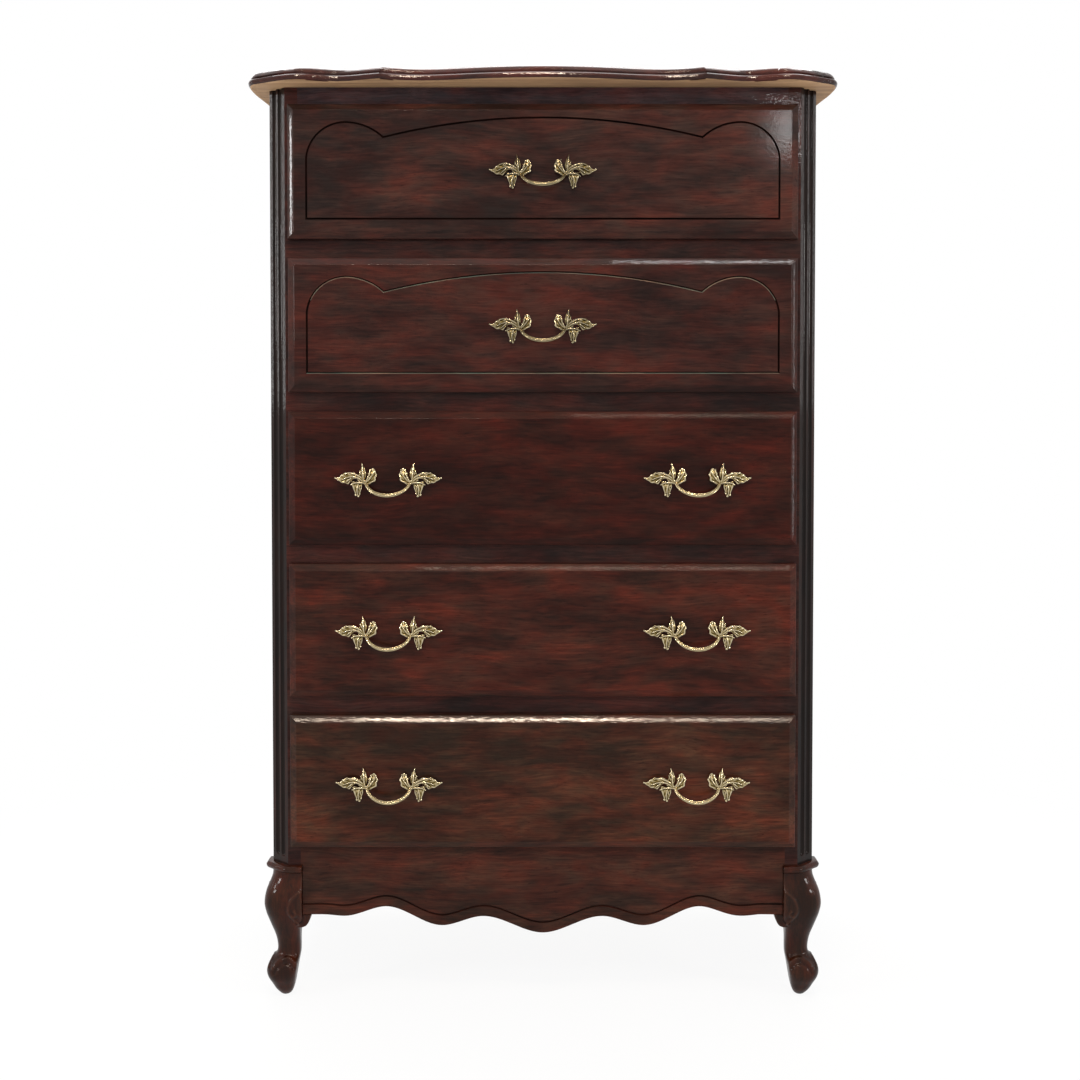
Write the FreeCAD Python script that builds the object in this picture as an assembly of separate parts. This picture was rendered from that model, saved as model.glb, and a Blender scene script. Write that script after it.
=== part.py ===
import FreeCAD, Part
import math
import os

# A tall chest of five drawers on cabriole legs, made as separate boards, legs, drawers and cast pulls.
# Millimetres. X runs to the right seen from the front, Y to the back and Z up.
# The origin is on the floor, under the middle of the top.

# Whole chest
HEIGHT = 1300.0
TOP_WIDTH = 824.0
TOP_DEPTH = 485.0
TOP_THICKNESS = 19.0
CASE_WIDTH = 770.0
CASE_DEPTH = 417.0
FRONT_OVERHANG = 62.0

# Front edge of the top, right half: distance from the middle, distance forward of the case front
TOP_BOW = [(0.0, FRONT_OVERHANG), (92.0, 53.0), (165.0, 42.0), (223.0, 55.0)]
TOP_EAR = [(223.0, 55.0), (286.0, 37.5), (340.0, 49.0), (391.0, 24.0), (TOP_WIDTH / 2, -30.0)]
TOP_SIDE_IN = 7.0
TOP_SIDE_IN_LENGTH = 115.0
TOP_BEAD_HEIGHT = 9.0
TOP_BEAD_PROJECTION = 4.5
TOP_THUMB_STEP = 3.0
TOP_THUMB_PROJECTION = 9.0
TOP_LEVELS = 6

# Posts, panels and rails
LEG_BLOCK = 45.5
POST_WIDTH = 43.0
CANT = 25.0
FLUTE_WIDTH = 9.5
FLUTE_DEPTH = 3.0
FLUTE_SPACING = 13.0
FLUTE_STOP = 10.0
PANEL_THICKNESS = 14.0
PANEL_INSET = 4.0
BACK_THICKNESS = 5.0
BACK_INSET = 4.0
RUNNER_WIDTH = 41.0
RUNNER_HEIGHT = 20.0
REAR_RAIL_DEPTH = 40.0
GUIDE_WIDTH = 24.0
GUIDE_HEIGHT = 8.0
GUIDE_SETBACK = 10.0
NOTCH_CLEARANCE = 1.5

# Drawers
DRAWER_COUNT = 5
DRAWER_TRAVEL_CLEARANCE = 0.5
FRONT_WIDTH = 708.0
FRONT_HEIGHT = 186.0
FRONT_PITCH = 212.7
FRONT_TOP = 1255.5
FRONT_THICKNESS = 19.0
FRONT_LAP = 6.0
BEVEL_WIDTH = 9.5
BEVEL_DEPTH = 6.5
ARRIS_RADIUS = 1.2
TONGUE_THICKNESS = 8.0
BOX_WIDTH = 680.0
BOX_HEIGHT = 150.0
BOX_LENGTH = 386.0
BOARD_THICKNESS = 12.0
BOARD_ROUND = 3.0
BOTTOM_THICKNESS = 4.0
BOTTOM_RISE = 12.5
BOTTOM_GROOVE = 6.0
TONGUE_GROOVE = 4.0

# Incised lines
GROOVE_WIDTH = 2.8
GROOVE_DEPTH = 1.6
GROOVE_FLOOR_WIDTH = 0.4
CARTOUCHE_HALF_WIDTH = 327.0
CARTOUCHE_BOTTOM = -66.0
CARTOUCHE_SHOULDER = 18.0
CARTOUCHE_LOBE_VIA = (311.0, 51.0)
CARTOUCHE_LOBE_TOP = (268.0, 66.5)
CARTOUCHE_LOBE_INNER = (243.0, 60.5)
CARTOUCHE_CUSP = (220.5, 46.0)
CARTOUCHE_CROWN = 73.0
CARTOUCHE_DRAWERS = 2

# Apron: its lower edge, right half, as distance from the middle and height
APRON_THICKNESS = 20.0
APRON_SHELF = 118.7
APRON_EDGE = [(0.0, 93.0), (87.0, 116.5), (143.0, 103.5), (221.0, 130.5), (277.0, 117.0), (302.0, 118.6),
              (CASE_WIDTH / 2 - LEG_BLOCK, APRON_SHELF)]
APRON_LINE_RISE = 15.0
APRON_LINE_RUN_OUT = 4.0

# Legs: height, reach outside the case corner planes, depth inside them, share of the width that is rounded
LEG_TOP = 189.0
LEG_CLEARANCE = 0.5
LEG_INNER = LEG_BLOCK - LEG_CLEARANCE
LEG_SECTIONS = [
    (0.0, -10.2, 27.0, 0.46),
    (7.0, -5.4, 29.5, 0.46),
    (18.0, 0.3, 32.0, 0.46),
    (28.0, 5.5, 33.7, 0.46),
    (37.0, 7.5, 35.2, 0.46),
    (46.0, 5.3, 36.8, 0.46),
    (54.0, 0.4, 38.3, 0.45),
    (60.0, -5.5, 39.3, 0.44),
    (69.0, -6.9, 39.5, 0.42),
    (84.0, -4.5, 39.5, 0.40),
    (101.0, 1.2, 40.3, 0.36),
    (118.0, 7.3, 42.5, 0.32),
    (134.0, 10.5, 44.2, 0.30),
    (150.0, 8.4, LEG_INNER, 0.28),
    (164.0, 3.0, LEG_INNER, 0.26),
    (173.0, 0.3, LEG_INNER, 0.24),
    (181.0, 0.3, LEG_INNER, 0.24),
]
COLLAR_HEIGHT = 11.0
COLLAR_CLEARANCE = 0.2
COLLAR_INNER = LEG_BLOCK - COLLAR_CLEARANCE
COLLAR_PROJECTION = 8.8
COLLAR_SHOULDER = 1.0
COLLAR_LEVELS = 7
EAR_WIDTH = 12.0
EAR_DROP = 20.0
EAR_SETBACK = 2.0
EAR_GAP = 0.3
EAR_LIP = (4.0, 2.5)
EAR_BULGE = (8.8, 10.0)
DOWEL_RADIUS = 6.0
DOWEL_LENGTH = 70.0
DOWEL_INSET = 29.4

# Cast pulls: distances outward from the pull's middle, up from its screws and forward of the drawer
PULL_OFFSET = 214.5
SCREW_SPACING = 76.2
SCREW_RADIUS = 2.0
SCREW_HOLE_RADIUS = 2.3
SCREW_HEAD_RADIUS = 4.0
SCREW_HEAD_HEIGHT = 2.5
SCREW_REACH = 7.0
PULL_POST_RADIUS = 4.5
PULL_POST_LENGTH = 9.5
PULL_HUB = (35.0, -2.5, 5.5)
PULL_HUB_RADIUS = 6.5
BAIL_END = (30.5, -4.5, 8.0)
BAIL_MIDDLE = (0.0, -19.5, 25.0)
BAIL_RADIUS = 2.6
LEAF_BACK = 1.2
LEAF_EDGE = 1.6
LEAF_CREST_SCALE = 0.45
# Each leaf: thickness, first point, then arcs as a point on the way and an end point
LEAVES = [
    (5.5, (33.0, -6.0), [((48.0, -2.5), (61.0, -8.5)), ((68.5, -6.5), (73.0, 1.0)),
                         ((65.0, 5.0), (56.0, 9.0)), ((43.0, 9.5), (33.0, 4.0))]),
    (5.0, (31.0, -2.0), [((30.5, 10.0), (36.0, 20.0)), ((41.0, 10.0), (40.0, -2.0))]),
    (6.0, (35.0, -5.0), [((23.0, -4.0), (17.0, 4.0)), ((17.5, 9.5), (21.5, 13.0)),
                         ((28.5, 9.5), (34.0, 1.0))]),
    (4.5, (36.0, -1.0), [((38.0, -10.0), (33.5, -17.0)), ((37.0, -23.0), (42.5, -26.5)),
                         ((47.5, -25.5), (49.0, -20.5)), ((44.5, -13.0), (49.0, -3.0))]),
]

# Places worked out from the sizes above
CASE_HALF = CASE_WIDTH / 2
CASE_FRONT = FRONT_OVERHANG - TOP_DEPTH / 2
CASE_BACK = CASE_FRONT + CASE_DEPTH
UNDERSIDE = HEIGHT - TOP_THICKNESS
POST_INNER = CASE_HALF - POST_WIDTH
PANEL_OUTER = CASE_HALF - PANEL_INSET
PANEL_INNER = PANEL_OUTER - PANEL_THICKNESS
POST_BACK = CASE_FRONT + LEG_BLOCK
REAR_POST_FRONT = CASE_BACK - LEG_BLOCK
FIELD = CASE_FRONT - DRAWER_TRAVEL_CLEARANCE - FRONT_THICKNESS
FRONT_BACK = FIELD + FRONT_THICKNESS
TONGUE_BACK = FRONT_BACK + TONGUE_THICKNESS
BOX_BACK = FRONT_BACK + BOX_LENGTH
RAIL_HEIGHT = FRONT_PITCH - FRONT_HEIGHT + 2 * FRONT_LAP


def vec(x, y, z):
    return FreeCAD.Vector(x, y, z)


def box(low, high):
    size = [b - a for a, b in zip(low, high)]
    return Part.makeBox(size[0], size[1], size[2], vec(*low))


def mirrored(shape):
    """The same piece on the other side of the middle plane X = 0."""
    return shape.mirror(vec(0, 0, 0), vec(1, 0, 0))


def line(a, b):
    return Part.LineSegment(a, b).toShape()


def arc(a, via, b):
    return Part.Arc(a, via, b).toShape()


def spline(points, start=None, end=None):
    curve = Part.BSplineCurve()
    if start is None:
        curve.interpolate(points)
    else:
        curve.interpolate(Points=points, InitialTangent=start, FinalTangent=end)
    return curve.toShape()


def polygon(points):
    return Part.makePolygon(points + points[:1])


def prism(wire, direction):
    return Part.Face(wire).extrude(direction)


def drawer_front_bottom(index):
    return FRONT_TOP - FRONT_HEIGHT - index * FRONT_PITCH


def opening_floor(index):
    """Height of the surface that a drawer's sides run on."""
    return drawer_front_bottom(index) + FRONT_LAP


# Top

def top_outline(inset, z):
    """The top's plan at one height of its moulded edge, drawn in by inset at the front and sides."""
    narrow = 1 - inset / (TOP_WIDTH / 2)
    back = TOP_DEPTH / 2

    def place(point, side=1):
        x, forward = point
        return vec(side * x * narrow, CASE_FRONT - forward + inset, z)

    bow = [place(p, -1) for p in reversed(TOP_BOW[1:])] + [place(p) for p in TOP_BOW]
    ear = [place(p) for p in TOP_EAR]
    waist = ear[-1] + vec(-TOP_SIDE_IN, TOP_SIDE_IN_LENGTH, 0)
    backward = vec(0, 1, 0)
    right = [
        spline(ear, (ear[1] - ear[0]).normalize(), backward),
        spline([ear[-1], waist], backward, backward),
        line(waist, vec(waist.x, back, z)),
    ]
    left = [mirrored(edge) for edge in right]
    rear = line(vec(waist.x, back, z), vec(-waist.x, back, z))
    return Part.Wire(Part.__sortEdges__([spline(bow)] + right + [rear] + left))


def top_profile():
    """Inset and height pairs up the moulded edge: a bead, a small step and a thumbnail round."""
    pairs = []
    middle = TOP_BEAD_HEIGHT / 2
    for level in range(TOP_LEVELS + 1):
        angle = math.pi * (level / TOP_LEVELS - 0.5)
        inset = TOP_BEAD_PROJECTION * (1 - math.cos(angle))
        pairs.append((inset, middle * (1 + math.sin(angle))))
    rise = TOP_THICKNESS - TOP_BEAD_HEIGHT
    for level in range(1, TOP_LEVELS + 1):
        angle = math.pi / 2 * level / TOP_LEVELS
        inset = TOP_THUMB_STEP + TOP_THUMB_PROJECTION * (1 - math.cos(angle))
        pairs.append((inset, TOP_BEAD_HEIGHT + rise * math.sin(angle)))
    return pairs


def top_panel():
    wires = [top_outline(inset, UNDERSIDE + height) for inset, height in top_profile()]
    return Part.makeLoft(wires, True, True)


# Case

def front_post():
    """Right front post, canted at its outer corner, with two stopped flutes in the cant."""
    outline = [
        vec(POST_INNER, CASE_FRONT, LEG_TOP),
        vec(CASE_HALF - CANT, CASE_FRONT, LEG_TOP),
        vec(CASE_HALF, CASE_FRONT + CANT, LEG_TOP),
        vec(CASE_HALF, POST_BACK, LEG_TOP),
        vec(POST_INNER, POST_BACK, LEG_TOP),
    ]
    post = prism(polygon(outline), vec(0, 0, UNDERSIDE - LEG_TOP))
    radius = (FLUTE_WIDTH ** 2 / 4 + FLUTE_DEPTH ** 2) / (2 * FLUTE_DEPTH)
    outward = vec(1, -1, 0).normalize()
    along = vec(1, 1, 0).normalize()
    middle = vec(CASE_HALF - CANT / 2, CASE_FRONT + CANT / 2, LEG_TOP + FLUTE_STOP + radius)
    for side in (-1, 1):
        base = middle + outward * (radius - FLUTE_DEPTH) + along * (side * FLUTE_SPACING / 2)
        shaft = Part.makeCylinder(radius, HEIGHT, base)
        post = post.cut(shaft.fuse(Part.makeSphere(radius, base)))
    return post


def rear_post():
    return box((POST_INNER, REAR_POST_FRONT, LEG_TOP), (CASE_HALF, CASE_BACK, UNDERSIDE))


def side_panel():
    """Right side panel between the posts, down to the level of the apron's ends."""
    return box((PANEL_INNER, POST_BACK, APRON_SHELF), (PANEL_OUTER, REAR_POST_FRONT, UNDERSIDE))


def back_panel():
    return box((BACK_INSET - CASE_HALF, CASE_BACK, LEG_TOP + BACK_INSET),
               (CASE_HALF - BACK_INSET, CASE_BACK + BACK_THICKNESS, UNDERSIDE))


def front_rail(low, high):
    return box((-POST_INNER, CASE_FRONT, low), (POST_INNER, POST_BACK, high))


def scallop(rise, y):
    """The apron's lower edge as one curve from leg to leg, lifted by rise."""
    half = [vec(x, y, z + rise) for x, z in APRON_EDGE]
    points = [vec(-p.x, p.y, p.z) for p in reversed(half[1:])] + half
    return spline(points, vec(1, 0, 0), vec(1, 0, 0))


def apron_outline():
    """Closed outline of the apron board; its shoulders widen above the leg blocks."""
    leg_inner = CASE_HALF - LEG_BLOCK
    top = opening_floor(DRAWER_COUNT - 1)
    right = [
        vec(leg_inner, CASE_FRONT, APRON_SHELF),
        vec(leg_inner, CASE_FRONT, LEG_TOP),
        vec(POST_INNER, CASE_FRONT, LEG_TOP),
        vec(POST_INNER, CASE_FRONT, top),
    ]
    path = right + [vec(-p.x, p.y, p.z) for p in reversed(right)]
    return Part.Wire([scallop(0, CASE_FRONT)] + [line(a, b) for a, b in zip(path, path[1:])])


def apron_line():
    """Cutter for the incised line that follows the apron's edge and runs out past both ends."""
    end_x = CASE_HALF - LEG_BLOCK
    middle_z = APRON_SHELF + APRON_LINE_RISE

    def band(half_width, y):
        right = [
            vec(end_x, y, middle_z - half_width),
            vec(end_x + APRON_LINE_RUN_OUT, y, middle_z - half_width),
            vec(end_x + APRON_LINE_RUN_OUT, y, middle_z + half_width),
            vec(end_x, y, middle_z + half_width),
        ]
        left = [vec(-p.x, p.y, p.z) for p in reversed(right)]
        return Part.Wire(
            [scallop(APRON_LINE_RISE - half_width, y)]
            + [line(a, b) for a, b in zip(right, right[1:])]
            + [scallop(APRON_LINE_RISE + half_width, y)]
            + [line(a, b) for a, b in zip(left, left[1:])])

    bands = [band(GROOVE_WIDTH / 2, CASE_FRONT), band(GROOVE_FLOOR_WIDTH / 2, CASE_FRONT + GROOVE_DEPTH)]
    return Part.makeLoft(bands, True, True)


def apron():
    board = prism(apron_outline(), vec(0, APRON_THICKNESS, 0))
    return board.cut(apron_line())


def runner(index):
    """Right runner under one drawer's side."""
    floor = opening_floor(index)
    return box((PANEL_INNER - RUNNER_WIDTH, POST_BACK, floor - RUNNER_HEIGHT),
               (PANEL_INNER, REAR_POST_FRONT, floor))


def centre_guide(index):
    floor = opening_floor(index)
    return box((-GUIDE_WIDTH / 2, CASE_FRONT + GUIDE_SETBACK, floor),
               (GUIDE_WIDTH / 2, CASE_BACK, floor + GUIDE_HEIGHT))


def rear_rail(top):
    return box((-POST_INNER, CASE_BACK - REAR_RAIL_DEPTH, top - RUNNER_HEIGHT),
               (POST_INNER, CASE_BACK, top))


# Legs

def corner(a, b, z, rear=False):
    """A point near a right-hand corner: a inward from the case side, b inward from its front or back."""
    y = CASE_BACK - b if rear else CASE_FRONT + b
    return vec(CASE_HALF - a, y, z)


def rounded_section(low_a, high_a, low_b, high_b, share, z, rear):
    """A rectangle with round corners, always four lines and four arcs."""
    radius = share * min(high_a - low_a, high_b - low_b)
    trim = radius * (1 - math.sqrt(0.5))
    corners = [
        (low_a, low_b, 1, 1),
        (high_a, low_b, -1, 1),
        (high_a, high_b, -1, -1),
        (low_a, high_b, 1, -1),
    ]
    edges = []
    ends = []
    for number, (a, b, into_a, into_b) in enumerate(corners):
        along_a = corner(a + into_a * radius, b, z, rear)
        along_b = corner(a, b + into_b * radius, z, rear)
        via = corner(a + into_a * trim, b + into_b * trim, z, rear)
        first, last = (along_b, along_a) if number % 2 == 0 else (along_a, along_b)
        ends.append((first, via, last))
    for number, (first, via, last) in enumerate(ends):
        following = ends[(number + 1) % len(ends)][0]
        edges.append(arc(first, via, last))
        edges.append(line(last, following))
    return Part.Wire(edges)


def collar_outline(projection, z, rear):
    """The canted block's outline moved out by projection; a rear block is square with a flat back."""
    if rear:
        points = [(COLLAR_INNER, 0), (-projection, 0), (-projection, COLLAR_INNER),
                  (COLLAR_INNER, COLLAR_INNER)]
    else:
        turn = CANT - projection * (math.sqrt(2) - 1)
        points = [(COLLAR_INNER, -projection), (turn, -projection), (-projection, turn),
                  (-projection, COLLAR_INNER), (COLLAR_INNER, COLLAR_INNER)]
    return polygon([corner(a, b, z, rear) for a, b in points])


def collar(rear):
    wires = []
    for level in range(COLLAR_LEVELS):
        angle = math.pi * (level / (COLLAR_LEVELS - 1) - 0.5)
        projection = COLLAR_SHOULDER + COLLAR_PROJECTION * math.cos(angle)
        z = LEG_TOP - COLLAR_HEIGHT / 2 * (1 - math.sin(angle))
        wires.append(collar_outline(projection, z, rear))
    return Part.makeLoft(wires, True, True)


def ear():
    """Bracket on the inner side of a front knee, under the apron's end."""
    root = LEG_BLOCK - EAR_WIDTH
    high = APRON_SHELF - EAR_GAP
    low = high - EAR_DROP
    start = corner(root, EAR_SETBACK, low)
    lip = corner(LEG_BLOCK + EAR_LIP[0], EAR_SETBACK, low + EAR_LIP[1])
    bulge = corner(LEG_BLOCK + EAR_BULGE[0], EAR_SETBACK, low + EAR_BULGE[1])
    end = corner(LEG_BLOCK + EAR_WIDTH, EAR_SETBACK, high)
    top = corner(root, EAR_SETBACK, high)
    wire = Part.Wire([
        line(start, lip),
        arc(lip, bulge, end),
        line(end, top),
        line(top, start),
    ])
    return prism(wire, vec(0, APRON_THICKNESS, 0))


def across_corner(shape):
    """The same form turned to the other face of a front right corner."""
    plane_point = corner(0, 0, 0)
    return shape.mirror(plane_point, vec(1, 1, 0))


def leg(rear=False):
    """Right-hand leg: front ones bow out both ways, rear ones only sideways, with a flat back."""
    wires = []
    for z, reach, inner, share in LEG_SECTIONS:
        front_reach = 0.0 if rear else reach
        wires.append(rounded_section(-reach, inner, -front_reach, inner, share, z, rear))
    brackets = [] if rear else [ear(), across_corner(ear())]
    shape = Part.makeLoft(wires, True, False).fuse([collar(rear)] + brackets)
    return shape.cut(leg_dowel(rear))


def leg_dowel(rear):
    middle = corner(DOWEL_INSET, DOWEL_INSET, LEG_TOP - DOWEL_LENGTH / 2, rear)
    return Part.makeCylinder(DOWEL_RADIUS, DOWEL_LENGTH, middle)


# Drawers

def cartouche(middle_z):
    """Maker of the incised outline round a drawer's field, moved inward by shift, at depth y."""
    def outline(shift, y):
        def at(point, side):
            return vec(side * point[0], y, middle_z + point[1])

        cusp = CARTOUCHE_CUSP
        shoulder = (CARTOUCHE_HALF_WIDTH, CARTOUCHE_SHOULDER)
        foot = (CARTOUCHE_HALF_WIDTH, CARTOUCHE_BOTTOM)
        right = [
            arc(at(cusp, 1), at(CARTOUCHE_LOBE_INNER, 1), at(CARTOUCHE_LOBE_TOP, 1)),
            arc(at(CARTOUCHE_LOBE_TOP, 1), at(CARTOUCHE_LOBE_VIA, 1), at(shoulder, 1)),
            line(at(shoulder, 1), at(foot, 1)),
        ]
        left = [mirrored(edge) for edge in right]
        crown = arc(at(cusp, -1), vec(0, y, middle_z + CARTOUCHE_CROWN), at(cusp, 1))
        base = line(at(foot, 1), at(foot, -1))
        wire = Part.Wire(Part.__sortEdges__([crown] + right + [base] + left))
        if shift == 0:
            return wire
        return wire.makeOffset2D(-shift, 2)
    return outline


def v_groove(outline, y):
    """A cutter for a V-shaped line; outline(shift, y) gives the closed wire moved inward by shift."""
    half = GROOVE_WIDTH / 2
    bottom = outline(0, y + GROOVE_DEPTH)
    wide = Part.makeLoft([outline(-half, y), bottom], True, True)
    narrow = Part.makeLoft([outline(half, y), bottom], True, True)
    return wide.cut(narrow)


def bevelled_board(middle_z):
    """The drawer's show face: a flat field, bevels on four sides and a square edge behind them."""
    half = FRONT_WIDTH / 2
    low = middle_z - FRONT_HEIGHT / 2
    high = middle_z + FRONT_HEIGHT / 2
    bevel_back = FIELD + BEVEL_DEPTH
    bevels = Part.makeWedge(BEVEL_WIDTH - half, FIELD, low + BEVEL_WIDTH, low, -half,
                            half - BEVEL_WIDTH, bevel_back, high - BEVEL_WIDTH, high, half)
    edge = box((-half, bevel_back, low), (half, FRONT_BACK, high))
    board = bevels.fuse(edge).removeSplitter()
    flat = [e for e in board.Edges if e.BoundBox.YLength < ARRIS_RADIUS]
    arrises = [e for e in flat if e.BoundBox.YMax < FRONT_BACK - BEVEL_DEPTH]
    return board.makeFillet(ARRIS_RADIUS, arrises)


def pull_centres(index):
    return [0.0] if index < CARTOUCHE_DRAWERS else [-PULL_OFFSET, PULL_OFFSET]


def screw_places(index):
    middle_z = drawer_front_bottom(index) + FRONT_HEIGHT / 2
    half = SCREW_SPACING / 2
    return [(x + side * half, middle_z) for x in pull_centres(index) for side in (-1, 1)]


def drawer_front(index):
    floor = opening_floor(index) + DRAWER_TRAVEL_CLEARANCE
    middle_z = drawer_front_bottom(index) + FRONT_HEIGHT / 2
    inner = BOX_WIDTH / 2 - BOARD_THICKNESS
    tongue = box((-inner, FRONT_BACK, floor), (inner, TONGUE_BACK, floor + BOX_HEIGHT))
    front = bevelled_board(middle_z).fuse(tongue)
    if index < CARTOUCHE_DRAWERS:
        front = front.cut(v_groove(cartouche(middle_z), FIELD))
    for x, z in screw_places(index):
        hole = Part.makeCylinder(SCREW_HOLE_RADIUS, TONGUE_BACK - FIELD, vec(x, FIELD, z), vec(0, 1, 0))
        front = front.cut(hole)
    return front.cut(drawer_bottom(index))


def drawer_bottom(index):
    low = opening_floor(index) + BOTTOM_RISE
    half = BOX_WIDTH / 2 - BOARD_THICKNESS + BOTTOM_GROOVE
    return box((-half, TONGUE_BACK - TONGUE_GROOVE, low),
               (half, BOX_BACK - BOARD_THICKNESS + BOTTOM_GROOVE, low + BOTTOM_THICKNESS))


def drawer_side(index):
    """Right side of a drawer's box, grooved for the bottom, with its top edges eased."""
    floor = opening_floor(index) + DRAWER_TRAVEL_CLEARANCE
    outer = BOX_WIDTH / 2
    board = box((outer - BOARD_THICKNESS, FRONT_BACK, floor), (outer, BOX_BACK, floor + BOX_HEIGHT))
    lengthwise = [e for e in board.Edges if e.BoundBox.XLength < BOARD_ROUND]
    top_edges = [e for e in lengthwise if e.BoundBox.ZMin > floor + BOX_HEIGHT - BOARD_ROUND]
    return board.makeFillet(BOARD_ROUND, top_edges).cut(drawer_bottom(index))


def drawer_back(index):
    """Back of a drawer's box, notched to ride astride the centre guide."""
    floor = opening_floor(index) + DRAWER_TRAVEL_CLEARANCE
    inner = BOX_WIDTH / 2 - BOARD_THICKNESS
    front = BOX_BACK - BOARD_THICKNESS
    board = box((-inner, front, floor), (inner, BOX_BACK, floor + BOX_HEIGHT - BOARD_ROUND))
    half_notch = GUIDE_WIDTH / 2 + NOTCH_CLEARANCE
    notch_top = opening_floor(index) + GUIDE_HEIGHT + NOTCH_CLEARANCE
    notch = box((-half_notch, front, floor), (half_notch, BOX_BACK, notch_top))
    return board.cut(notch).cut(drawer_bottom(index))


def pull_screws(index):
    screws = []
    for x, z in screw_places(index):
        head = Part.makeCylinder(SCREW_HEAD_RADIUS, SCREW_HEAD_HEIGHT, vec(x, TONGUE_BACK, z), vec(0, 1, 0))
        reach = TONGUE_BACK - FIELD + SCREW_REACH
        shank = Part.makeCylinder(SCREW_RADIUS, reach, vec(x, FIELD - SCREW_REACH, z), vec(0, 1, 0))
        screws.append(head.fuse(shank).removeSplitter())
    return Part.makeCompound(screws)


# Pulls

def leaf(thickness, start, arcs, at):
    """One cast leaf: its outline rises square from the back, then slopes in to a low crest."""
    points = [start] + [end for via, end in arcs]
    centre_u = sum(p[0] for p in points) / len(points)
    centre_v = sum(p[1] for p in points) / len(points)

    def wire(scale, w):
        def point(uv):
            u = centre_u + (uv[0] - centre_u) * scale
            v = centre_v + (uv[1] - centre_v) * scale
            return at(u, v, w)

        ends = [start] + [end for via, end in arcs]
        edges = [arc(point(a), point(via), point(b)) for a, (via, b) in zip(ends, arcs)]
        edges.append(line(point(ends[-1]), point(start)))
        return Part.Wire(edges)

    levels = [(1.0, LEAF_BACK), (1.0, LEAF_BACK + LEAF_EDGE), (LEAF_CREST_SCALE, LEAF_BACK + thickness)]
    return Part.makeLoft([wire(scale, w) for scale, w in levels], True, True)


def pull(x, z):
    """One cast pull: leafy ends on two posts and an arched bail between them."""
    def at(u, v, w):
        return vec(x + u, FIELD - w, z + v)

    path = arc(at(-BAIL_END[0], *BAIL_END[1:]), at(*BAIL_MIDDLE), at(*BAIL_END))
    start = path.FirstParameter
    ring = Part.makeCircle(BAIL_RADIUS, path.valueAt(start), path.tangentAt(start))
    turn = math.degrees(path.LastParameter - start)
    shape = Part.makeSolid(Part.Face(Part.Wire([ring])).revolve(path.Curve.Center, path.Curve.Axis, turn))
    for side in (-1, 1):
        def end_at(u, v, w, side=side):
            return at(side * u, v, w)

        post_base = vec(x + side * SCREW_SPACING / 2, FIELD, z)
        post = Part.makeCylinder(PULL_POST_RADIUS, PULL_POST_LENGTH, post_base, vec(0, -1, 0))
        hub = Part.makeSphere(PULL_HUB_RADIUS, end_at(*PULL_HUB))
        hub = hub.common(box((x - FRONT_WIDTH, FIELD - FRONT_WIDTH, z - FRONT_WIDTH),
                             (x + FRONT_WIDTH, FIELD - LEAF_BACK, z + FRONT_WIDTH)))
        shape = shape.fuse([post, hub] + [leaf(*row, end_at) for row in LEAVES])
        bore = Part.makeCylinder(SCREW_RADIUS, SCREW_REACH, post_base, vec(0, -1, 0))
        shape = shape.cut(bore)
    return shape.removeSplitter()


def carcass():
    dowels = [leg_dowel(rear) for rear in (False, True)]
    right_runners = [runner(index) for index in range(DRAWER_COUNT)]
    rear_tops = [UNDERSIDE] + [opening_floor(index) for index in range(DRAWER_COUNT)]
    right_post = front_post().cut(dowels[0])
    right_rear_post = rear_post().cut(dowels[1])
    nodes = {
        "top_panel": top_panel(),
        "right_front_post": right_post,
        "left_front_post": mirrored(right_post),
        "right_rear_post": right_rear_post,
        "left_rear_post": mirrored(right_rear_post),
        "right_side_panel": side_panel(),
        "left_side_panel": mirrored(side_panel()),
        "back_panel": back_panel(),
        "apron": apron(),
        "top_rail": front_rail(FRONT_TOP - FRONT_LAP, UNDERSIDE),
        "front_right_leg": leg(),
        "front_left_leg": mirrored(leg()),
        "rear_right_leg": leg(rear=True),
        "rear_left_leg": mirrored(leg(rear=True)),
        "drawer_runners": Part.makeCompound(right_runners + [mirrored(r) for r in right_runners]),
        "centre_guides": Part.makeCompound([centre_guide(index) for index in range(DRAWER_COUNT)]),
        "rear_rails": Part.makeCompound([rear_rail(top) for top in rear_tops]),
        "leg_dowels": Part.makeCompound(dowels + [mirrored(d) for d in dowels]),
    }
    for index in range(DRAWER_COUNT - 1):
        high = opening_floor(index)
        nodes[f"drawer_rail_{index + 1}"] = front_rail(high - RAIL_HEIGHT, high)
    return nodes


def drawer(index):
    name = f"drawer_{index + 1}"
    nodes = {
        f"{name}_front": drawer_front(index),
        f"{name}_right_side": drawer_side(index),
        f"{name}_left_side": mirrored(drawer_side(index)),
        f"{name}_back": drawer_back(index),
        f"{name}_bottom": drawer_bottom(index),
        f"{name}_pull_screws": pull_screws(index),
    }
    centres = pull_centres(index)
    sides = ["pull"] if len(centres) == 1 else ["left_pull", "right_pull"]
    middle_z = drawer_front_bottom(index) + FRONT_HEIGHT / 2
    for side, x in zip(sides, centres):
        nodes[f"{name}_{side}"] = pull(x, middle_z)
    return nodes


def main():
    os.makedirs("parts", exist_ok=True)
    nodes = carcass()
    for index in range(DRAWER_COUNT):
        nodes.update(drawer(index))
    for name, shape in nodes.items():
        shape.exportStep(f"parts/{name}.step")


main()
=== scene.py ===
import math
from collections import namedtuple

import bmesh
import bpy
import numpy as np
from mathutils import Euler, Matrix, Vector


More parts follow.
